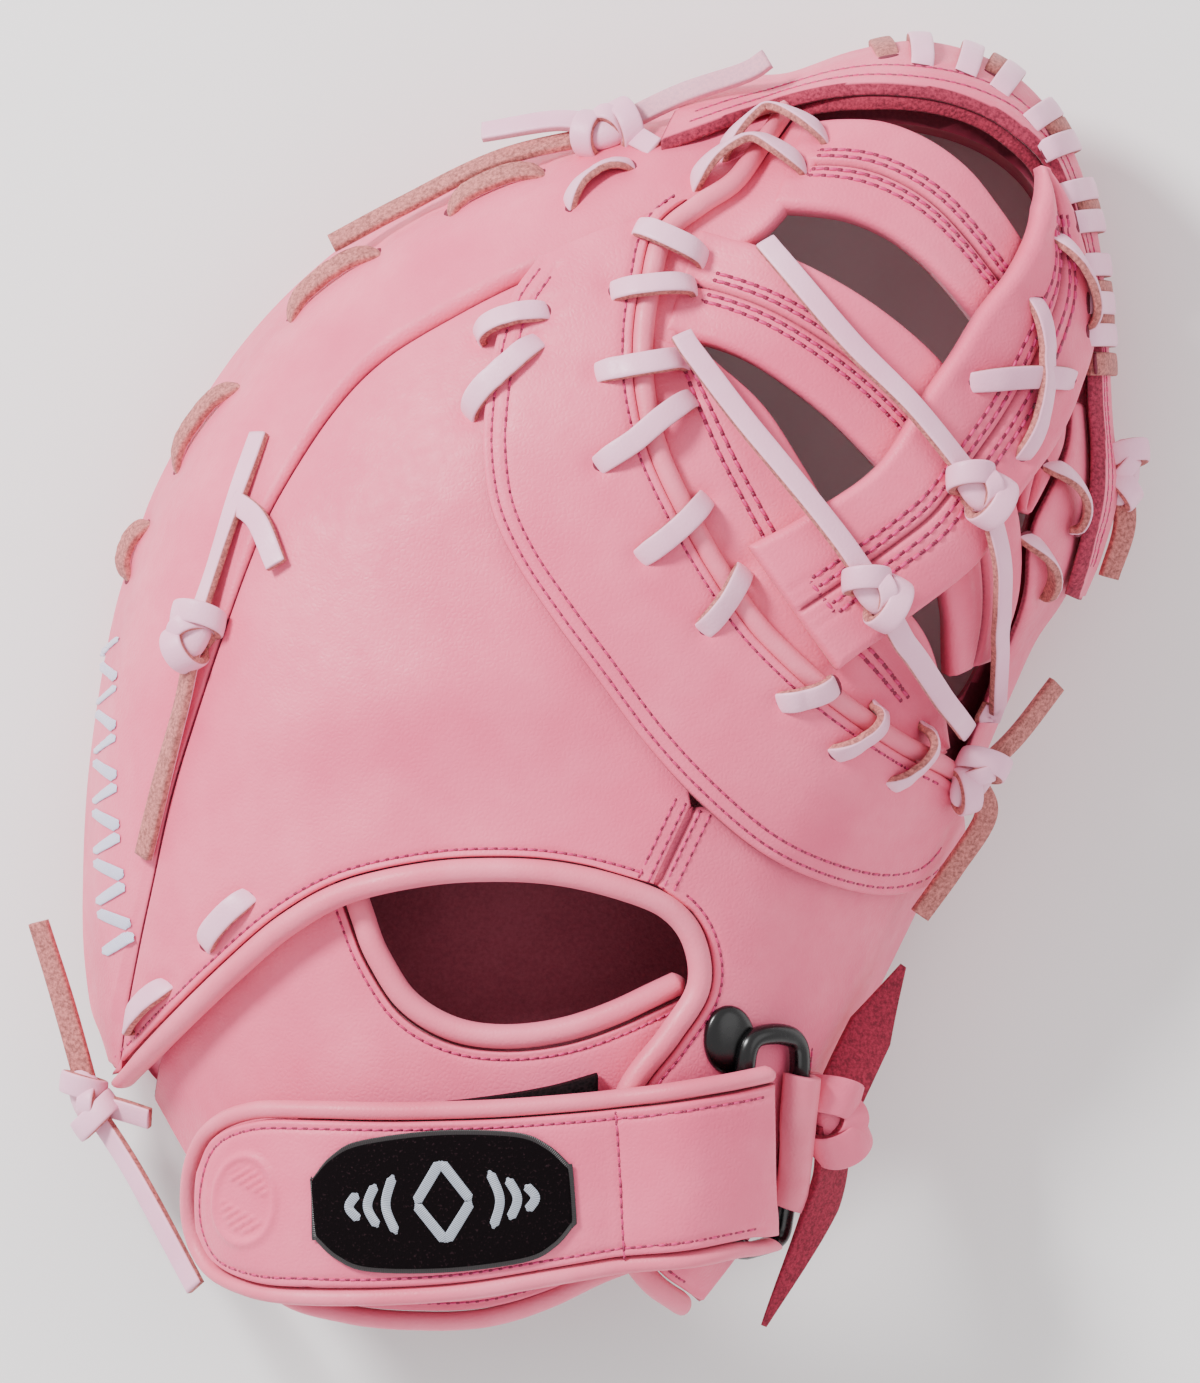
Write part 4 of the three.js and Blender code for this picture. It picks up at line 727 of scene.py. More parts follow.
def roll(name, plan, lift, section, nodes=(), finish=binding_hide, slot="binding_leather", closed=False):
    """A rolled strip along a plan line, with its ends drawn in over the last 2 mm."""
    path = skin(plan, lift)
    gone = travelled(path)
    grow = 1.0 if closed else np.sqrt(np.clip(np.minimum(gone, gone[-1] - gone) / 2.0, 0.05, 1))
    carried[name] = (plan, np.broadcast_to(lift + section[:, 1].max(), len(plan)))
    points, faces = swept(path, lying(plan, closed), section, closed, grow)
    return made(name, points, faces, finish, slot, nodes, raw=0.0)


roll("web_welt", welt_line, WELT_RADIUS - 0.6, ring_of(WELT_RADIUS, WELT_RADIUS), ["welt"])
roll("opening_binding_roll", opening_fine, -LEATHER / 2 + 0.2, ring_of(BINDING * 0.98, BINDING * 1.05),
     ["opening_binding"])
roll("cutout_binding_roll", curve(CUTOUT_EDGE, 200), WRIST_LEVEL, ring_of(BINDING, BINDING), ["cutout_binding"])
roll("wrist_binding_roll", curve(WRIST_EDGE, 200), WRIST_LEVEL, ring_of(WRIST_BINDING, WRIST_BINDING),
     ["wrist_binding"])

# Web. Two folded bars, a base under them and a split post over them, each two layers of hide sewn together, and a
# doubled band along the rim.
BAR_TOP_OUTER = [
    (52.7, 138), (62.5, 138.9), (73.5, 138), (84.5, 133.5), (94.3, 126.2), (101.7, 117.1), (107.8, 108.6),
    (113.9, 100), (118.4, 91.4), (119.8, 81.6), (119.6, 69.3), (118.8, 59.5), (115.9, 52.2), (112.5, 45.6),
    (110, 40.9),
]
BAR_TOP_INNER = [
    (44.8, 116.4), (55.1, 115.4), (64.9, 113.5), (74.7, 109), (83.3, 102.4), (90.7, 94.8), (96.8, 87.7),
    (101.7, 81.1), (105.4, 73), (107.6, 63.2), (108.1, 54.6), (107.6, 47.3), (108.1, 41.9),
]
BAR_LOW_OUTER = [
    (27.2, 111.5), (39.2, 107.8), (50.2, 103.7), (61.3, 98), (72.3, 90.9), (83.3, 82.1), (91.9, 73),
    (98, 63.2), (102.4, 54.6), (105.1, 47.3), (106.8, 40.9), (107.8, 32.6), (107.3, 21.3), (104.4, 10.5),
    (101.7, 5.1),
]
BAR_LOW_INNER = [
    (18.6, 85.3), (29.4, 82.8), (39.2, 78.7), (49, 72.5), (58.8, 64.9), (67.4, 56.6), (74.7, 48.5),
    (80.9, 39.9), (85.8, 30.1), (88.5, 20.3), (89.9, 10.5), (90.9, 0.7),
]
WEB_BASE_FREE = [
    (31.1, 78.7), (43.4, 67.4), (53.4, 52.2), (63.7, 35), (74.7, 22.3), (84.1, 10.5), (88.2, -1.7),
    (89.4, -9.1), (90.7, -16.4),
]
POST_LEFT = [
    (107.6, 125.7), (108.1, 118.4), (106.6, 109.8), (101.7, 100), (94.3, 90.2), (88, 79.9), (80.9, 69.3),
    (69.8, 52.2), (52.7, 40.4), (39.2, 33.1),
]
POST_RIGHT = [
    (111.5, 124.7), (114.9, 117.1), (118.1, 106.1), (121.3, 93.8), (120.6, 82.8), (116.2, 68.1), (110.5, 55.9),
    (102.9, 44.8), (98, 37.5), (91.4, 28.7), (77.2, 17.4), (60, 3.7),
]
TOP_BAND_INNER = [
    (18.4, 130.6), (28.2, 134.3), (39.2, 138.7), (52.7, 142.6), (64.9, 144.6), (77.2, 144.6), (88.2, 143.1),
    (98, 139.7), (105.4, 135), (112.7, 128.2), (116.9, 118.4), (120.1, 106.1), (122.8, 93.8), (124.2, 81.6),
    (124.5, 69.3), (125.2, 59.5), (125, 49.7), (123.7, 39.9), (121.3, 30.1), (119.3, 22.3),
]
TOP_BAND_OUTER = [
    (27.2, 144.3), (38, 146.8), (52.2, 147.5), (69.3, 153.1), (84.5, 155.1), (100.7, 150), (112.7, 138.7),
    (120.1, 123), (124, 105.6), (126, 83.8), (127.2, 64.4), (128.6, 48.5), (125.2, 34.3), (120.8, 23),
]
WEB = 5.0  # folded and sewn web leather
POST_LIFT = 1.2
BAND_LIFT = OVERLAY_LIFT + FIT
# Shares of the way across at which the threads and the fold run
BAR_ROWS, BAR_FOLD = (0.37, 0.44, 0.58, 0.65), 0.51
POST_ROWS, POST_FOLD = (0.4, 0.47, 0.61, 0.68), 0.54
BASE_ROWS = (0.4, 0.5)


def between(a, b, share):
    """A line at a share of the way between two others."""
    return a * (1 - share) + b * share


bars = {}
for name, node, outer, inner in (
        ("upper_web_bar", "web_bar_upper", BAR_TOP_OUTER, BAR_TOP_INNER),
        ("lower_web_bar", "web_bar_lower", BAR_LOW_OUTER, BAR_LOW_INNER)):
    a, b = curve(outer, 200), curve(inner, 200)
    bars[name] = [between(a, b, share) for share in BAR_ROWS]
    panel(name, a, b, 60, 0, -WEB, [node], edge=2.3, cut=False, grooves=bars[name], folds=[between(a, b, BAR_FOLD)])
base_a = shifted(curve(WELT, 200, 0.33, 0.97), WELT_RADIUS - 0.4)
base_b = curve(WEB_BASE_FREE, 200)
base_threads = [between(base_a, base_b, share) for share in BASE_ROWS]
panel("web_base_panel", base_a, base_b, 40, 0, -WEB, ["web_base"], edge=(0.6, 2.0), cut=False,
      grooves=base_threads)
narrow = np.sqrt(np.clip(np.arange(221) / 18, 0.15, 1))[:, None]
post_a, post_b = curve(POST_LEFT, 220), curve(POST_RIGHT, 220)
post_a, post_b = (between(post_a, post_b, 0.5 - 0.5 * narrow), between(post_a, post_b, 0.5 + 0.5 * narrow))
end_line = curve(WELT, 90, 0.0, 0.4)
end_wide = WELT_RADIUS + np.interp(np.linspace(0, 1, 91), [0, 0.35, 0.8, 1], [9.0, 10.0, 6.0, 3.0])
panel("web_end_strip", shifted(end_line, WELT_RADIUS - 1.8), shifted(end_line, end_wide), 18, -0.5, -WEB,
      edge=(0.4, 1.8), cut=False)
post_threads = [between(post_a, post_b, share) for share in POST_ROWS]
panel("web_post_strap", post_a, post_b, 60, POST_LIFT + WEB, POST_LIFT, ["web_post"], edge=2.4, cut=False,
      grooves=post_threads, folds=[between(post_a, post_b, POST_FOLD)])
band_a, band_b = shifted(curve(TOP_BAND_INNER, 260), -2.2), curve(TOP_BAND_OUTER, 260)
band_wide = np.linalg.norm(band_b - band_a, axis=1)
band_threads = [between(band_a, band_b, np.minimum(gap / band_wide, most)[:, None]) for gap, most in (
    (3.4, 0.3), (6.2, 0.5))]
panel("top_band_panel", band_a, band_b, 50, BAND_LIFT + LEATHER, BAND_LIFT, ["top_band"], edge=(0.3, 2.0),
      chamfer=0.9, bulge=0.8, grooves=band_threads)
liner_line = curve(TOP_BAND_INNER, 200)
liner_edge = shifted(liner_line, np.interp(np.linspace(0, 1, 201), [0, 0.25, 0.7, 1], [0.3, -2.9, -2.2, -0.6]))
flesh_hide = steerhide("crimson_flesh_split", "#A3304C", "#8A2440", "#94283F", gloss=0.7, grain=0.5)
panel("top_band_second_layer", liner_edge, shifted(liner_line, 2), 14, 0.9, FIT - LEATHER,
      ["top_band_liner"], flesh_hide, "edge_leather", edge=0.5, chamfer=0.8)

roll("thumb_seam_edge", curve(THUMB_SEAM, 20), -0.6, ring_of(1.0, 1.0), (), flesh_hide, "edge_leather")

# Wrist strap. Hide over felt with a bound edge, closed with a hook-and-loop pad, a generic patch and a blind stamp.
STRAP_TOP = [
    (-90.7, -119.3), (-86.5, -110), (-76.7, -106.1), (-62.5, -105.9), (-40.4, -105.9), (-15.9, -104.9), (8.6, -102.4),
    (25.7, -98.8), (39.9, -95.3),
]
STRAP_BOTTOM = [
    (-90.7, -132.1), (-86.5, -140.2), (-78.2, -144.1), (-64.9, -145.3), (-45.3, -145.3), (-25.7, -143.8),
    (-3.7, -139.9), (18.4, -135.5), (38.5, -130.9),
]
STRAP_EDGE = [
    (40.4, -92.9), (25.7, -96.3), (8.6, -100), (-15.9, -102.4), (-40.4, -103.4), (-64.9, -103.4), (-79.1, -103.9),
    (-88.5, -108.6), (-92.9, -118.1), (-93.1, -132.1), (-88.5, -142.4), (-79.1, -146.5), (-64.9, -147.8),
    (-45.3, -147.8), (-25.7, -146.3), (-3.7, -142.4), (18.4, -138), (39.2, -133.3),
]
PAD_TOP = [
    (-79.1, -107.6), (-60, -104.6), (-28.2, -101.4), (-9.8, -98.5), (3.2, -95.1),
]
PAD_BOTTOM = [
    (-79.1, -141.9), (-60, -143.3), (-28.2, -141.9), (-9.8, -138.9), (3.2, -136),
]
STRAP = 4.0
STRAP_BINDING = 2.2
STRAP_LIFT = -LEATHER / 2 + BINDING + FIT
RING_BAR = 2.6
RING_LIFT = FIT * 2 + RING_BAR
STRAP_TIP = 194  # sample of the edge line at the strap's round tip
STAMP_MIDDLE = np.array([-78.9, -125])
STAMP_HALF = (6.6, 10.4)
STAMP_PITCH = 2.1


def strap_rise(share):
    """The strap climbs over the ring's bar at its right end: a smooth step."""
    f = np.clip((share - 0.74) / 0.15, 0, 1)
    return (RING_LIFT + RING_BAR + FIT * 5 - STRAP_LIFT) * f * f * (3 - 2 * f)


def stamped(p):
    """A blind stamp 13 by 21 mm: a raised oval rim, with slanting bars above and below a bare band, 0.85 mm high."""
    across, along = (p - STAMP_MIDDLE)[..., 0], (p - STAMP_MIDDLE)[..., 1]
    x, y = across / STAMP_HALF[0], along / STAMP_HALF[1]
    out = np.hypot(x, y)
    slats = 0.5 + 0.5 * np.sin((along - 0.7 * across) * 2 * np.pi / STAMP_PITCH)
    clear = np.clip((np.abs(y + 0.35 * x) - 0.24) * 12, 0, 1)
    return 0.85 * bell(out - 1, 0.1) + 0.8 * np.clip((0.84 - out) * 8, 0, 1) * slats ** 2 * clear


strap_a, strap_b = curve(STRAP_TOP, 260), curve(STRAP_BOTTOM, 260)
strap_share = np.linspace(0, 1, 261)
strap_line = curve(STRAP_EDGE, 420)
strap_sweep = strap_rise((strap_line[:, 0] - strap_line[STRAP_TIP, 0]) / (strap_line[0, 0] - strap_line[STRAP_TIP, 0]))
strap_thread = shifted(strap_line, 4.4)
cross_thread = curve([(6.9, -103.2), (7.8, -121.8), (8.6, -140.7)], 60)
panel("wrist_strap", strap_a, strap_b, 90, STRAP_LIFT + strap_rise(strap_share) + STRAP,
      STRAP_LIFT + strap_rise(strap_share), ["strap"], edge=1.0, bulge=0.5,
      grooves=[strap_thread, cross_thread], relief=stamped)
roll("strap_binding_roll", strap_line, STRAP_LIFT + strap_sweep + STRAP / 2, ring_of(STRAP_BINDING, STRAP / 2 + 0.5),
     ["strap_binding"])
hook_pile, tree, loops = textured("black_hook_and_loop_nylon", "TexVoronoi", {"Scale": 1100.0}, "Distance")
shaded(tree, {"Roughness": 0.95, "Specular IOR Level": 0.1},
       {"Base Color": mixed(tree, "#040203", "#1A0F12", loops)}, 0.7, 0.0005, loops)
panel("fastener_pad_pile", curve(PAD_TOP, 60), curve(PAD_BOTTOM, 60), 20, STRAP_LIFT - FIT * 2,
      WRIST_LEVEL + LEATHER / 2 + FIT * 3, ["fastener_pad"], hook_pile, "fastener_fabric", edge=0.8, cut=False)

# Patch. A black felt plate with a satin-stitched border, and a plain lozenge and bars in grey rayon thread on it.
PATCH_HALVES = [(-0.5, 0.2), (-0.42, 0.36), (-0.3, 0.46), (0, 0.5), (0.3, 0.46), (0.42, 0.36), (0.5, 0.2)]
PATCH_SPOT = np.array([-33.8, -124.7])
PATCH_LENGTH, PATCH_HEIGHT, PATCH_TURN = 60.0, 32.0, 0.06
PATCH_BASE = STRAP_LIFT + STRAP + FIT * 2


def on_patch(rows):
    """Places on the patch, in shares of its length and height, as plan points."""
    rows = np.asarray(rows, float) * (PATCH_LENGTH, PATCH_HEIGHT)
    c, s = np.cos(PATCH_TURN), np.sin(PATCH_TURN)
    return PATCH_SPOT + np.stack([rows[..., 0] * c - rows[..., 1] * s, rows[..., 0] * s + rows[..., 1] * c], -1)


def satin(name, strokes, lift, finish, slot, *carriers):
    """Raised satin-stitch bars, each a lens-shaped strip along its middle line: height and width follow a half sine.

    strokes holds (plan line, width) pairs. The mark lay grows 1 for each millimetre along a bar."""
    everything, quads, lay, start = [], [], [], 0
    section = oval(np.linspace(0, np.pi, 9), 1.0, 0.16)
    section = np.concatenate([section, [(-1.0, -0.08), (1.0, -0.08)]])
    for line, wide in strokes:
        t = np.linspace(0, 1, len(line))
        path = skin(line, lift + (resting(line, *carriers) if carriers else 0))
        grow = wide / 2 * np.clip(np.minimum(t, 1 - t) * 12, 0.25, 1)
        points, faces = swept(path, lying(line), section, grow=grow)
        everything.append(points)
        quads.extend(f + start for f in faces)
        long = np.repeat(np.linspace(0, travelled(path)[-1], len(line)), len(section))
        lay.append(np.concatenate([long, [0, long[-1]]]))
        start += len(points)
    fours = np.concatenate([f for f in quads if f.shape[1] == 4])
    threes = np.concatenate([f for f in quads if f.shape[1] == 3])
    return made(name, np.concatenate(everything), [fours, threes], finish, slot, lay=np.concatenate(lay))


def rayon(name, light, dark):
    """Rayon embroidery thread in satin stitch: glossy parallel strands 0.45 mm apart along the mark lay, each coloured
    from dark in its groove to light on its crown with the bump, a painted shade and highlight.
    """
    finish, tree = blank(name)
    lay = add(tree, "Attribute", {"attribute_name": "lay"}).outputs["Fac"]
    strand = add(tree, "Math", {"operation": "MULTIPLY", 1: 2 * np.pi / 0.45}, {0: lay})
    wave = add(tree, "Math", {"operation": "SINE"}, {0: strand.outputs[0]})
    rounded = add(tree, "MapRange", {"From Min": -1.0}, {"Value": wave.outputs[0]})
    shaded(tree, {"Roughness": 0.38, "Anisotropic": 0.5, "Sheen Weight": 0.3},
           {"Base Color": mixed(tree, dark, light, rounded.outputs[0])}, 0.5, 0.0002, rounded.outputs[0])
    return finish


felt, tree, fibres = textured("black_wool_felt", "TexNoise", {"Scale": 1400.0, "Detail": 6.0})
lint = add(tree, "MapRange", {"From Min": 0.6, "From Max": 0.85}, {"Value": fibres})
shaded(tree, {"Roughness": 0.95, "Specular IOR Level": 0.1},
       {"Base Color": mixed(tree, "#080305", "#3A252B", lint.outputs[0])}, 0.6, 0.0004, fibres)
patch_rows = np.array(PATCH_HALVES)
patch_a = on_patch(curve(patch_rows, 120))
patch_b = on_patch(curve(patch_rows * (1, -1), 120))
panel("strap_patch_felt", patch_a, patch_b, 40, PATCH_BASE + 1.0, PATCH_BASE, ["strap_patch"], felt,
      "patch_fabric", edge=0.5, cut=False, bulge=0.4)
# In each pair of colours, the first is the painted highlight on the strands' crowns and the second the painted shade
# between them.
grey_rayon = rayon("grey_rayon_satin_stitch", "#AEB5C2", "#6F7682")
black_rayon = rayon("black_rayon_border_stitch", "#1E1216", "#0A0506")
border = np.concatenate([patch_a, patch_b[::-1]])
diamond = [(0.11, 0), (0, 0.3), (-0.11, 0), (0, -0.3)]
motif = [(curve([diamond[k], diamond[(k + 1) % 4]], 24), 2.6) for k in range(4)]
for side in (-1, 1):
    for step, tall in ((0.19, 0.22), (0.26, 0.16), (0.33, 0.1)):
        motif.append((curve([(side * step, -tall), (side * (step + 0.035), 0), (side * step, tall)], 24), 2.4))
satin("patch_lozenge_stitching", [(on_patch(line), wide) for line, wide in motif], PATCH_BASE + 1.35, grey_rayon,
      "patch_fabric")
satin("patch_border_stitching", [(curve(border, 300, closed=True), 2.0)], PATCH_BASE + 0.75, black_rayon,
      "patch_fabric")

# Side embroidery. A plain zigzag of bars in white rayon satin stitch down the little finger's side.
SIDE_ROW = [(-117.6, 10.5), (-117.1, -9.1), (-116.4, -28.7), (-115.2, -48.3), (-113.2, -65.4)]
row_line = curve(SIDE_ROW, 200)
row_way = unit(np.gradient(row_line, axis=0))
ZIGZAG_BARS, BAR_HALF, BAR_SLANT, BAR_WIDE = 13, 3.6, 2.0, 3.9
zigzag = []
for k, at in enumerate(np.linspace(4, 196, ZIGZAG_BARS).astype(int)):
    aside = np.array([-row_way[at, 1], row_way[at, 0]])
    half = aside * BAR_HALF + row_way[at] * (BAR_SLANT if k % 2 else -BAR_SLANT)
    zigzag.append((np.linspace(row_line[at] - half, row_line[at] + half, 24), BAR_WIDE))
white_rayon = rayon("white_rayon_satin_stitch", "#ECEAFB", "#ABA6D2")
satin("side_lozenge_stitching", zigzag, 0.3, white_rayon, "lace_leather", "finger_side_panel")

# Ring and tab. A moulded black acetal ring that the strap turns round, held by a folded tab of hide.
RING_PATH = [
    (36.8, -109.5), (37, -94.8), (38.5, -87), (43.4, -85), (48.8, -86.5), (50, -92.9), (48.3, -109.5),
    (46.3, -127.9), (44.8, -135), (40.4, -137.2), (35, -136.5), (33.8, -129.1),
]
TAB = 2.2
acetal, tree, moulding = textured("moulded_black_acetal", "TexNoise", {"Scale": 900.0, "Detail": 3.0})
gloss = add(tree, "MapRange", {"To Min": 0.2, "To Max": 0.32}, {"Value": moulding})
shaded(tree, {"Base Color": linear("#070708"), "IOR": 1.48}, {"Roughness": gloss.outputs[0]}, 0.08, 0.0001, moulding)
ring_line = curve(RING_PATH, 200, closed=True)[:-1]
roll("strap_ring", ring_line, RING_LIFT, ring_of(RING_BAR, RING_BAR), ["ring"], acetal, "ring_plastic", closed=True)
# The round stop beside the ring: its middle, half width and half height, and its rings as (share, lift) pairs
STOP_MIDDLE, STOP_HALF = np.array([34.8, -86.7]), (6.0, 8.4)
STOP_RINGS = [(1.0, -0.6), (1.0, 0.9), (0.93, 1.6), (0.72, 2.3), (0.4, 2.6), (0.02, 2.7)]
stop_rings = [skin(STOP_MIDDLE + oval(equal_turns(48), *STOP_HALF) * share, rise) for share, rise in STOP_RINGS]
made("ring_stop_disc", np.concatenate(stop_rings), tube_faces(len(STOP_RINGS), 48), acetal, "ring_plastic")


def tab_section():
    """A fold round the ring's bar and a tail on the thumb panel, as one closed loop of [across, up] points."""
    inner = RING_BAR + FIT * 2
    outer = inner + TAB
    turn = np.linspace(1.08 * np.pi, 0, 22)[:, None]
    out_arc = outer * np.hstack([np.cos(turn), np.sin(turn)])
    in_arc = inner * np.hstack([np.cos(turn[::-1]), np.sin(turn[::-1])])
    low = FIT - RING_LIFT
    tail = [(outer * 2.05, low + TAB), (outer * 2.1, low + TAB * 0.6), (outer * 2.1, low), (inner + 0.4, low)]
    bend = [(outer * 0.98, -outer * 0.18), (outer * 1.12, low + TAB * 1.35), (outer * 1.45, low + TAB * 1.05)]
    return np.concatenate([out_arc, bend, tail, in_arc])[::-1]


tab_plan = curve(RING_PATH, 60, 0.35, 0.62, closed=True)
points, faces = swept(skin(tab_plan, RING_LIFT), lying(tab_plan), tab_section())
made("ring_tab_fold", points, faces, binding_hide, "shell_leather", ["ring_tab"], raw=0.0)

# Laces. Flat strips of rawhide-dyed leather, 5.7 by 2.2 mm, smooth and pale on the grain side and fuzzy brown-pink
# on the flesh side. Each stitch comes up through a hole, lies over the edge and goes down through the next.
LACE, LACE_THICK = 5.7, 2.2
SHOULDER = 0.93


def flat_section(wide, thick, corner=0.5):
    """Round a flat strip's section: a rectangle with quarter-circle corners, crowned by a tenth on top."""
    turn = np.linspace(0, np.pi / 2, 4)
    x, y = wide / 2 - corner, thick / 2 - corner
    loop = np.concatenate([
        np.stack([sx * x + corner * np.cos(turn + start), sy * y + corner * np.sin(turn + start)], 1)
        for start, sx, sy in ((0, 1, 1), (np.pi / 2, -1, 1), (np.pi, -1, -1), (1.5 * np.pi, 1, -1))])
    crown = np.where(loop[:, 1] > 0, thick * 0.1 * (1 - (loop[:, 0] / (wide / 2)) ** 2), 0)
    top_fill = np.stack([np.linspace(x, -x, 7)[1:-1], np.full(5, thick / 2)], 1)
    top_fill[:, 1] += thick * 0.1 * (1 - (top_fill[:, 0] / (wide / 2)) ** 2)
    loop = loop + np.stack([np.zeros(len(loop)), crown], 1)
    return np.concatenate([loop[:4], top_fill, loop[4:]])


def merged(parts):
    """Several (points, faces, marks) as one set of points, quads, triangles and marks."""
    shift, quads, threes = 0, [], []
    for points, faces, _ in parts:
        quads.append(faces[0] + shift)
        threes.extend(f + shift for f in faces[1:])
        shift += len(points)
    faces = [np.concatenate(quads)] + ([np.concatenate(threes)] if threes else [])
    return np.concatenate([p for p, _, _ in parts]), faces, np.concatenate([m for _, _, m in parts])


def strip(path, across, wide=LACE, thick=LACE_THICK, grow=1.0, flip=False, closed=False):
    """A lace along a path, with its marks: raw on the sides and below, or on top instead when it is flipped."""
    section = flat_section(wide, thick)
    points, faces = swept(path, across, section, closed, grow)
    level = section[:, 1] * (-1 if flip else 1)
    raw = np.tile(np.where(level > thick * 0.5 - 0.42, 0.0, 1.0), len(path))
    return points, faces, raw if closed else np.concatenate([raw, [1.0, 1.0]])


def leaning(path, up, lean):
    """Directions across a path, level over up and then turned about the way, which raises the left-hand edge."""
    way = unit(np.gradient(path, axis=0))
    across = unit(np.cross(up, way))
    lean = np.broadcast_to(lean, len(path))[:, None]
    return unit(across * np.cos(lean) + np.cross(way, across) * np.sin(lean))


def stitch(row, lean=0.0, bow=0.0, flip=False):
    """One lace stitch, an arch that dives into a hole at both ends.

    Its lift is that of what it rests on, with slopes held under 0.2, times the root of one less the cube of the
    distance from its middle. bow swings the plan line to the left by a half sine."""
    a, b = np.array(row[0:2]), np.array(row[2:4])
    t = (1 - np.cos(np.linspace(0, np.pi, 29))) / 2
    along = b - a
    plan = a + along * t[:, None] + np.array([-along[1], along[0]]) * (bow * np.sin(np.pi * t))[:, None]
    under = resting(plan)
    long = np.linalg.norm(along)
    held = (under[None] - np.abs(t[:, None] - t[None]) * long * 0.2).max(1)
    low = under[0] * (1 - t) + under[-1] * t - 1.3
    lift = low + np.sqrt(1 - np.abs(2 * t - 1) ** 3) * (held + LACE_THICK * 0.5 + 0.5 + long * 0.03 - low)
    path = skin(plan, lift)
    up = facing(np.broadcast_to((a + b) / 2, (1, 2)))
    flat_way = np.broadcast_to(unit(np.array([*along, 0.0])), path.shape)
    across = unit(np.cross(up, flat_way))
    turned = leaning(path, np.cross(flat_way, across), lean * np.sin(np.pi * t) ** 0.5)
    steep = np.clip(np.minimum(t, 1 - t) * 14, 0, 1)[:, None]
    grow = 1 - 0.1 * bell(np.minimum(t, 1 - t), 0.1)
    return strip(path, unit(across * (1 - steep) + turned * steep), grow=grow, flip=flip)


lace_hide = steerhide("pale_pink_lace_leather", "#F4B9D2", "#E9A5C2", "#B86E6A", gloss=0.42, grain=0.12)
hole_ends = []
for node, (bow, rows) in LACES.items():
    points, faces, raw = merged([stitch(row, row[4], bow, node == "rim_lace") for row in rows])
    made(node + "_stitches", points, faces, lace_hide, "lace_leather", [node], raw=raw)
    for row in rows:
        way = unit(np.array(row[2:4]) - np.array(row[0:2]))
        hole_ends += [(np.array(row[0:2]) - way * 0.5, way), (np.array(row[2:4]) + way * 0.5, way)]
# Where the grain side of the band's lace shows at the rim, and where its flesh side does
BAND_GRAIN = [
    (82.3, 157.3), (95.1, 155.6), (106.1, 151.2), (116.4, 142.4), (120.8, 133.8), (125.2, 122), (125.5, 113.7),
    (127.7, 103.2), (126.2, 93.8), (126.7, 85.8),
]
BAND_FLESH = [
    (73.5, 156.3), (102.9, 153.9), (121.3, 138.4), (126.4, 116.9), (128.6, 96.8), (128.6, 90.9), (127.2, 78.7),
]
band_fine = curve(TOP_BAND_OUTER, 600)
band_away = shifted(band_fine, 1.0) - band_fine


def band_stub(spot, flip):
    """A lace end over the rim: a smooth line from a hole inside the edge, over it and 8.5 mm down outside.

    The hole is 7.5 mm from the edge, or 5 mm for a flipped stub, which also lies lower and slants."""
    at = ((band_fine - spot) ** 2).sum(1).argmin()
    out = band_away[at] * (1 if band_away[at].dot(band_fine[at] - HUB) > 0 else -1)
    reach, rise = (-5.0, 0.4) if flip else (-7.5, 1.5)
    plan = band_fine[at] + out * np.array([reach, reach + 1.0, -2.0, 1.3, 1.7, 0.5])[:, None]
    lift = BAND_LIFT + LEATHER + np.array([-1.5, rise, rise + 0.3, -1.0, -4.0, -8.5])
    smooth = curve(np.column_stack([plan, lift]), 24)
    path = skin(smooth[:, :2], smooth[:, 2])
    slant = 0.35 if flip else 0.0
    across = np.array([-out[1], out[0], 0.0]) + np.array([0, 0, slant])
    way = unit(np.gradient(path, axis=0))
    across = unit(across - way * (way * across).sum(-1, keepdims=True))
    hole_ends.append((plan[0], out))
    return strip(path, across, flip=flip)


points, faces, raw = merged([band_stub(np.array(spot), flip) for spots, flip in (
    (BAND_GRAIN, False), (BAND_FLESH, True)) for spot in spots])
made("band_lace_stitches", points, faces, lace_hide, "lace_leather", ["band_lace"], raw=raw)

# Lace holes. Dark plates laid on the hide at each end of a stitch: painted shade for the slots punched through it.
HOLE_HALF = (1.25, 2.75)
HOLE_SIDES = 12
# Painted shade: the plates' dark red-brown stands for the darkness inside each punched slot, not for the hide's own
# colour.
hole_shade_finish, tree, hole_speckle = textured("painted_lace_hole_shade", "TexNoise", {"Scale": 1300.0, "Detail": 4.0})
shaded(tree, {"Roughness": 0.95}, {"Base Color": mixed(tree, "#4A1522", "#8E3048", hole_speckle)}, 0.6, 0.0003, hole_speckle)
hole_at = np.array([at for at, _ in hole_ends])
hole_way = np.array([way for _, way in hole_ends])
slot_ring = np.concatenate([oval(equal_turns(HOLE_SIDES), *HOLE_HALF) * k for k in (1.0, 1.0, 0.6)])
slot_rise = np.repeat([-0.5, 0.0, 0.06], HOLE_SIDES)[None, :, None]
out = facing(hole_at)
slot_side = unit(np.cross(out, np.column_stack([hole_way, np.zeros(len(hole_way))])))
points = (skin(hole_at, resting(hole_at))[:, None] + np.cross(slot_side, out)[:, None] * slot_ring[None, :, :1]
          + slot_side[:, None] * slot_ring[None, :, 1:] + out[:, None] * slot_rise).reshape(-1, 3)
shift = np.arange(len(hole_at))[:, None, None] * len(slot_ring)
made("lace_holes", points, [(f[None] + shift).reshape(-1, f.shape[1]) for f in tube_faces(3, HOLE_SIDES)], hole_shade_finish,
     "edge_leather")

# Knots. Each pair of lace ends is tied in a tight overhand knot, and the ends are cut off long and lie loose.
KNOT = 13.5
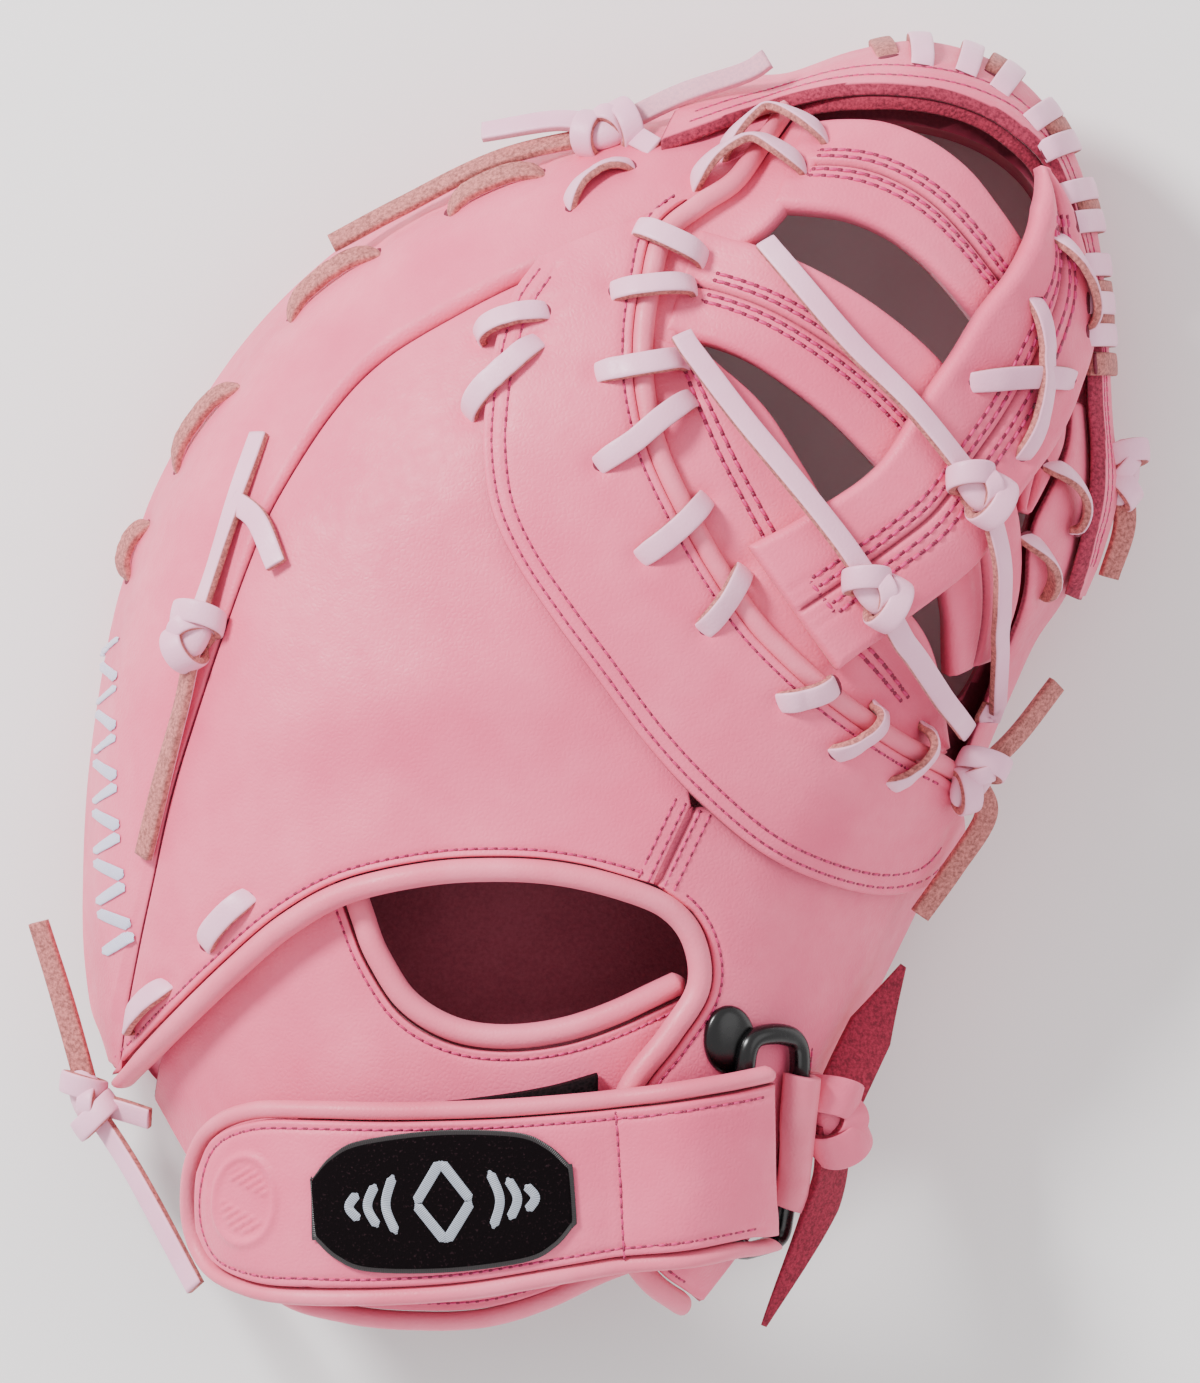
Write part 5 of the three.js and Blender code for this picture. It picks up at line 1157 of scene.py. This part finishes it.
# Columns: x, y, lift in lace thicknesses, turn in radians
KNOTS = {
    "top": (5.4, 135.5, 2.45, 0.3),
    "pinky": (-92.4, 11, 2.35, 1.1),
    "post_upper": (89.9, 46.1, 5.2, -0.8),
    "post_lower": (67.9, 23.3, 5.2, -0.8),
    "thumb": (95.3, -23.3, 5.2, 0.8),
    "heel": (-122.8, -103.2, -8.6, -1.1),
    "crest": (132.8, 52.2, -9.6, 1.4),
}
WIDE_KNOT = (61, -106.1, 0.8, -1.2)
# Loose ends. Columns: x, y, lift in lace thicknesses. A end starting with True lies flesh side up.
ENDS = {
    "top": [
        [(5.4, 136, 2), (-6.1, 138.2, 1.4), (-25.2, 135.5, 1)],
        [True, (5.4, 135, 2), (-20.8, 129.1, 1), (-45.3, 117.4, 0.9), (-62.5, 108.3, 0.9)],
        [True, (6.1, 136, 2), (23.3, 144.3, 1.1), (39.2, 149.7, 1.2), (44.8, 153.1, 1.4)],
        [(6.1, 135, 2), (17.9, 129.1, 0.9)],
    ],
    "pinky": [
        [(-92.4, 12.5, 2), (-89, 26.5, 1.2), (-83.6, 44.8, 1), (-78.4, 60, 1)],
        [True, (-92.4, 9.3, 2), (-96.3, -4.2, 1.1), (-101.7, -23.8, 1), (-106.3, -42.4, 1)],
        [(-84.1, 43.6, 1), (-78.2, 38.7, 1.2), (-73.8, 28.2, 1.1)],
    ],
    "post_upper": [
        [(89.4, 46.8, 5.1), (77.2, 66.4, 4.1), (63.7, 81.6, 2.7), (44.1, 106.1, 1.1)],
        [(90.7, 45.3, 5.1), (96.3, 30.1, 3.7), (98.3, 13, 2), (98, -9.6, 1.7)],
    ],
    "post_lower": [
        [(67.4, 24, 5.1), (52.7, 44.8, 4.2), (38, 63.2, 2.8), (23.8, 82.6, 2.8)],
        [(68.4, 22.8, 5.1), (76.7, 7.6, 3.6), (89, -9.6, 2.6)],
    ],
    "thumb": [
        [True, (95.3, -22.8, 5), (105.4, -13.5, 3.2), (115.9, -0.2, 2)],
        [True, (95.3, -23.8, 5), (98.5, -32.3, 2.6), (90.7, -45.3, 1.4), (82.3, -57.1, 1.2)],
    ],
    "heel": [
        [True, (-122.8, -102.2, -8.6), (-129.6, -77.7, -7), (-135.3, -59.1, -6)],
        [(-122.8, -104.1, -8.6), (-111, -121.8, -9), (-95.8, -148.7, -9.5)],
        [(-122.3, -103.7, -8.6), (-114.4, -105.6, -8.2), (-107.6, -107.6, -8)],
    ],
    "crest": [
        [True, (132.6, 51.2, -9.6), (133.5, 39, -10), (129.6, 26.2, -10)],
    ],
}
WIDE_ENDS = [
    [(60.5, -105.1, 0.8), (67.9, -89.9, 0), (78.4, -69.6, -1)],
    [(61, -107.1, 0.4), (58.6, -126.7, -5), (43.9, -158, -9)],
]
LEANS = {"post_upper": (0.5, -0.5), "post_lower": (0.5, -0.1), "pinky": (-0.7, 0.7, 0.2), "top": (0.1, 0.3, 0.1, 0.3)}


def over(p, lift):
    """Points over the back, or level with its shoulder where the plan goes past that."""
    away = p - HUB
    turn = np.arctan2(away[..., 1], away[..., 0]) % (2 * np.pi)
    past = np.linalg.norm(away, axis=-1) / (SHOULDER * rim_radius(turn))
    inside = skin(p, lift)
    edge = HUB + away / np.maximum(past, 1)[..., None]
    outside = np.concatenate([p, (height(edge) + lift)[..., None]], -1)
    return np.where((past <= 1)[..., None], inside, outside)


def loose(rows, wide=LACE, flip=False, taper=0.0, lean=0.2):
    """A loose end: a smooth line through its rows, leaning about the way by a slow sine, and tapered to its tip."""
    rows = np.array(rows, float) * (1, 1, 10)
    line = curve(rows, 56)
    path = over(line[:, :2], line[:, 2] / 10 * LACE_THICK)
    t = np.linspace(0, 1, len(path))
    across = leaning(path, unit(facing(path[:, :2]) + (0, 0, 1)), lean * (0.75 + 0.25 * np.sin(t * 5)))
    return strip(path, across, wide, LACE_THICK, 1 - taper * np.clip((t - 0.55) / 0.45, 0, 1), flip)


# Turns of a knot. Columns: place along it, heading, reach across and tilt, in shares of its size, and lace width
TURNS = [(0.3, 0.3, 0.43, 0.12, 1.0), (-0.27, -0.75, 0.36, -0.1, 1.0), (0.0, 1.05, 0.3, 0.16, 0.8)]


def tied(place, wide=LACE, size=KNOT):
    """A tight overhand knot: three turns of lace round an egg-shaped core, each an oval loop with its own heading."""
    x, y, lift, turn = place
    middle = over(np.array([[x, y]]), lift * LACE_THICK)[0]
    up = unit(facing(np.array([x, y])) + (0, 0, 1))
    axis = np.array([np.cos(turn), np.sin(turn), 0])
    axis = unit(axis - up * up.dot(axis))
    parts = []
    for along, heading, reach, tilt, share in TURNS:
        way = np.array([np.cos(turn + heading), np.sin(turn + heading), 0])
        way = unit(way - up * way.dot(up))
        side = np.cross(up, way)
        a = equal_turns(40)[:, None]
        path = middle + size * (axis * along + way * np.sin(a) * tilt + side * np.cos(a) * reach
                                + up * np.sin(a) * (0.3 + 0.05 * share))
        parts.append(strip(path, np.broadcast_to(way, path.shape), wide * share, LACE_THICK, closed=True))
    side = np.cross(up, axis)
    t, p = np.meshgrid(np.linspace(0.02, np.pi - 0.02, 14), equal_turns(24), indexing="ij")
    core = (axis * (np.cos(t) * 0.62)[..., None] + side * (np.sin(t) * np.cos(p) * 0.36)[..., None]
            + up * (np.sin(t) * np.sin(p) * 0.27)[..., None]) * size + middle
    parts.append((core.reshape(-1, 3), [grid_faces(14, 24, wrap_columns=True)[:, ::-1]], np.zeros(core.size // 3)))
    return parts


for key, spot in KNOTS.items():
    parts = tied(spot)
    for k, end in enumerate(ENDS[key]):
        flip = end[0] is True
        lean = LEANS[key][k] if key in LEANS else 0.2
        tail, sides, raw = loose(end[1:] if flip else end, flip=flip, taper=0.06, lean=lean)
        parts.append((tail, sides, raw * (0.4 if key == "top" and k in (0, 2) else 1)))
    points, faces, raw = merged(parts)
    made(f"knot_{key}_tied", points, faces, lace_hide, "lace_leather", ["knot_" + key], outward=False, raw=raw)
points, faces, raw = merged(tied(WIDE_KNOT, LACE * 1.7, KNOT * 1.15) + [
    loose(end, LACE * 2.2, True, taper=0.85, lean=-0.3) for end in WIDE_ENDS])
wide_hide = steerhide("crimson_backed_lace_leather", "#EE7390", "#E05C7C", "#8E2038")
made("wide_lace_tied", points, faces, wide_hide, "edge_leather", ["wide_lace"], outward=False, raw=raw)

# Thread. Bonded nylon in bright pink, lockstitched at about ten stitches an inch and eight on the web, sunk into the
# leather, with a dark plug at each end of a stitch that is painted shade for the needle hole.
# Stitch from hole to hole, its visible length and half its thickness, in millimetres
FINE, COARSE = (2.4, 2.0, 0.3), (3.3, 2.7, 0.48)
TAB_THREADS = ([(52.9, -89.4), (51.7, -106.3)], [(55.6, -89.4), (54.4, -103.2)])


def stitching(name, rows, size):
    """Rows of stitches: each is a bent capsule with a dark plug at both ends, painted shade for a needle hole, copied
    along its plan line.

    rows holds (plan line, panels that it lies on). A capsule's radius follows the root of one less the fourth
    power of the distance from its middle, and its ends dip."""
    pitch, visible, radius = size
    t = np.linspace(-1, 1, 6)
    turn = equal_turns(6)
    girth = radius * np.sqrt(np.maximum(1 - t ** 4, 0.03))
    capsule = np.stack([
        np.repeat(t * visible / 2, 6), (girth[:, None] * np.cos(turn)).ravel() + np.repeat(0.3 * radius * t, 6),
        (girth[:, None] * np.sin(turn) + (0.2 * radius - 0.9 * radius * t ** 4)[:, None]).ravel()], 1)
    pits = []
    for end in (-1, 1):
        ring = np.stack([end * (visible + pitch) / 4 + (0.2 * pitch) * np.cos(turn), 1.15 * radius * np.sin(turn),
                         np.full(6, 0.12)], 1)
        pits += [ring - (0, 0, 0.6), ring]
    template = np.concatenate([capsule, *pits])
    quads = [grid_faces(6, 6, wrap_columns=True)[:, ::-1]]
    quads += [grid_faces(2, 6, wrap_columns=True, first=36 + 12 * k) for k in range(2)]
    quads = np.concatenate(quads)
    ring = np.arange(6)
    tips = np.array([ring[::-1], 30 + ring, 36 + ring[::-1], 42 + ring, 48 + ring[::-1], 54 + ring])
    everything = []
    for line, *carriers in rows:
        at = curve(line, max(int(travelled(line)[-1] / pitch), 1))
        at = skin(at, resting(at, *carriers))
        middle = (at[1:] + at[:-1]) / 2
        way = unit(at[1:] - at[:-1])
        side = unit(np.cross(facing(middle[:, :2]), way))
        base = np.stack([way, side, np.cross(way, side)], 1)
        everything.append(np.einsum("vk,nkd->nvd", template, base) + middle[:, None])
    count = sum(len(e) for e in everything)
    shift = (np.arange(count) * len(template))[:, None, None]
    faces = [(quads[None] + shift).reshape(-1, 4), (tips[None] + shift).reshape(-1, 6)]
    pit = np.tile(np.repeat([0.0, 1.0], [36, 24]), count)
    return made(name, np.concatenate([e.reshape(-1, 3) for e in everything]), faces, nylon_thread, "lace_leather",
                outward=False, pit=pit)


nylon_thread, tree, twist = textured("bonded_pink_nylon_thread", "TexNoise", {"Scale": 2600.0, "Detail": 2.0})
pit_mark = add(tree, "Attribute", {"attribute_name": "pit"}).outputs["Fac"]
# Painted shade: the plugs at the stitch ends take the dark #8C1F45 for the shade inside each needle hole.
thread_and_hole_shade = add(tree, "Mix", {"data_type": "RGBA", 7: linear("#8C1F45")},
           {0: pit_mark, 6: mixed(tree, "#DE3B7E", "#BC2462", twist)})
shaded(tree, {"Roughness": 0.5}, {"Base Color": thread_and_hole_shade.outputs[2]}, 0.3, 0.0001, twist)

split = int(260 * BACK_SEAM)
stitching("opening_threads", [
    (opening_thread[4:split - 3], "finger_back_panel"), (opening_thread[split + 6:-4], "thumb_wrist_panel")], FINE)
stitching("side_panel_threads", [(line[3:-6], "side_panel_overlay") for line in (*side_threads, welt_thread)], FINE)
stitching("thumb_seam_threads", [(line, "finger_back_panel", "thumb_wrist_panel") for line in short_threads], FINE)
stitching("ring_tab_threads", [(curve(rows, 12), "thumb_wrist_panel") for rows in TAB_THREADS], FINE)
stitching("wrist_threads", [(line, "wrist_cross_panel") for line in (cutout_thread[2:-2], wrist_thread[3:-4])], FINE)
web_rows = [(line[12:150], name) for name, lines in bars.items() for line in lines]
web_rows += [(curve([lines[0][11], lines[3][11]], 8), name) for name, lines in bars.items()]
stitching("web_bar_threads", web_rows, COARSE)
stitching("web_base_threads", [(line[6:-30], "web_base_panel") for line in base_threads], COARSE)
post_rows = [(line[20:-14], "web_post_strap") for line in post_threads]
post_rows.append((curve([post_threads[0][-13], post_threads[3][-13]], 8), "web_post_strap"))
stitching("web_post_threads", post_rows, COARSE)
stitching("band_threads", [(line[8:-10], "top_band_panel") for line in band_threads], FINE)
stitching("strap_threads", [(line, "wrist_strap") for line in (strap_thread[6:-6], cross_thread)], FINE)
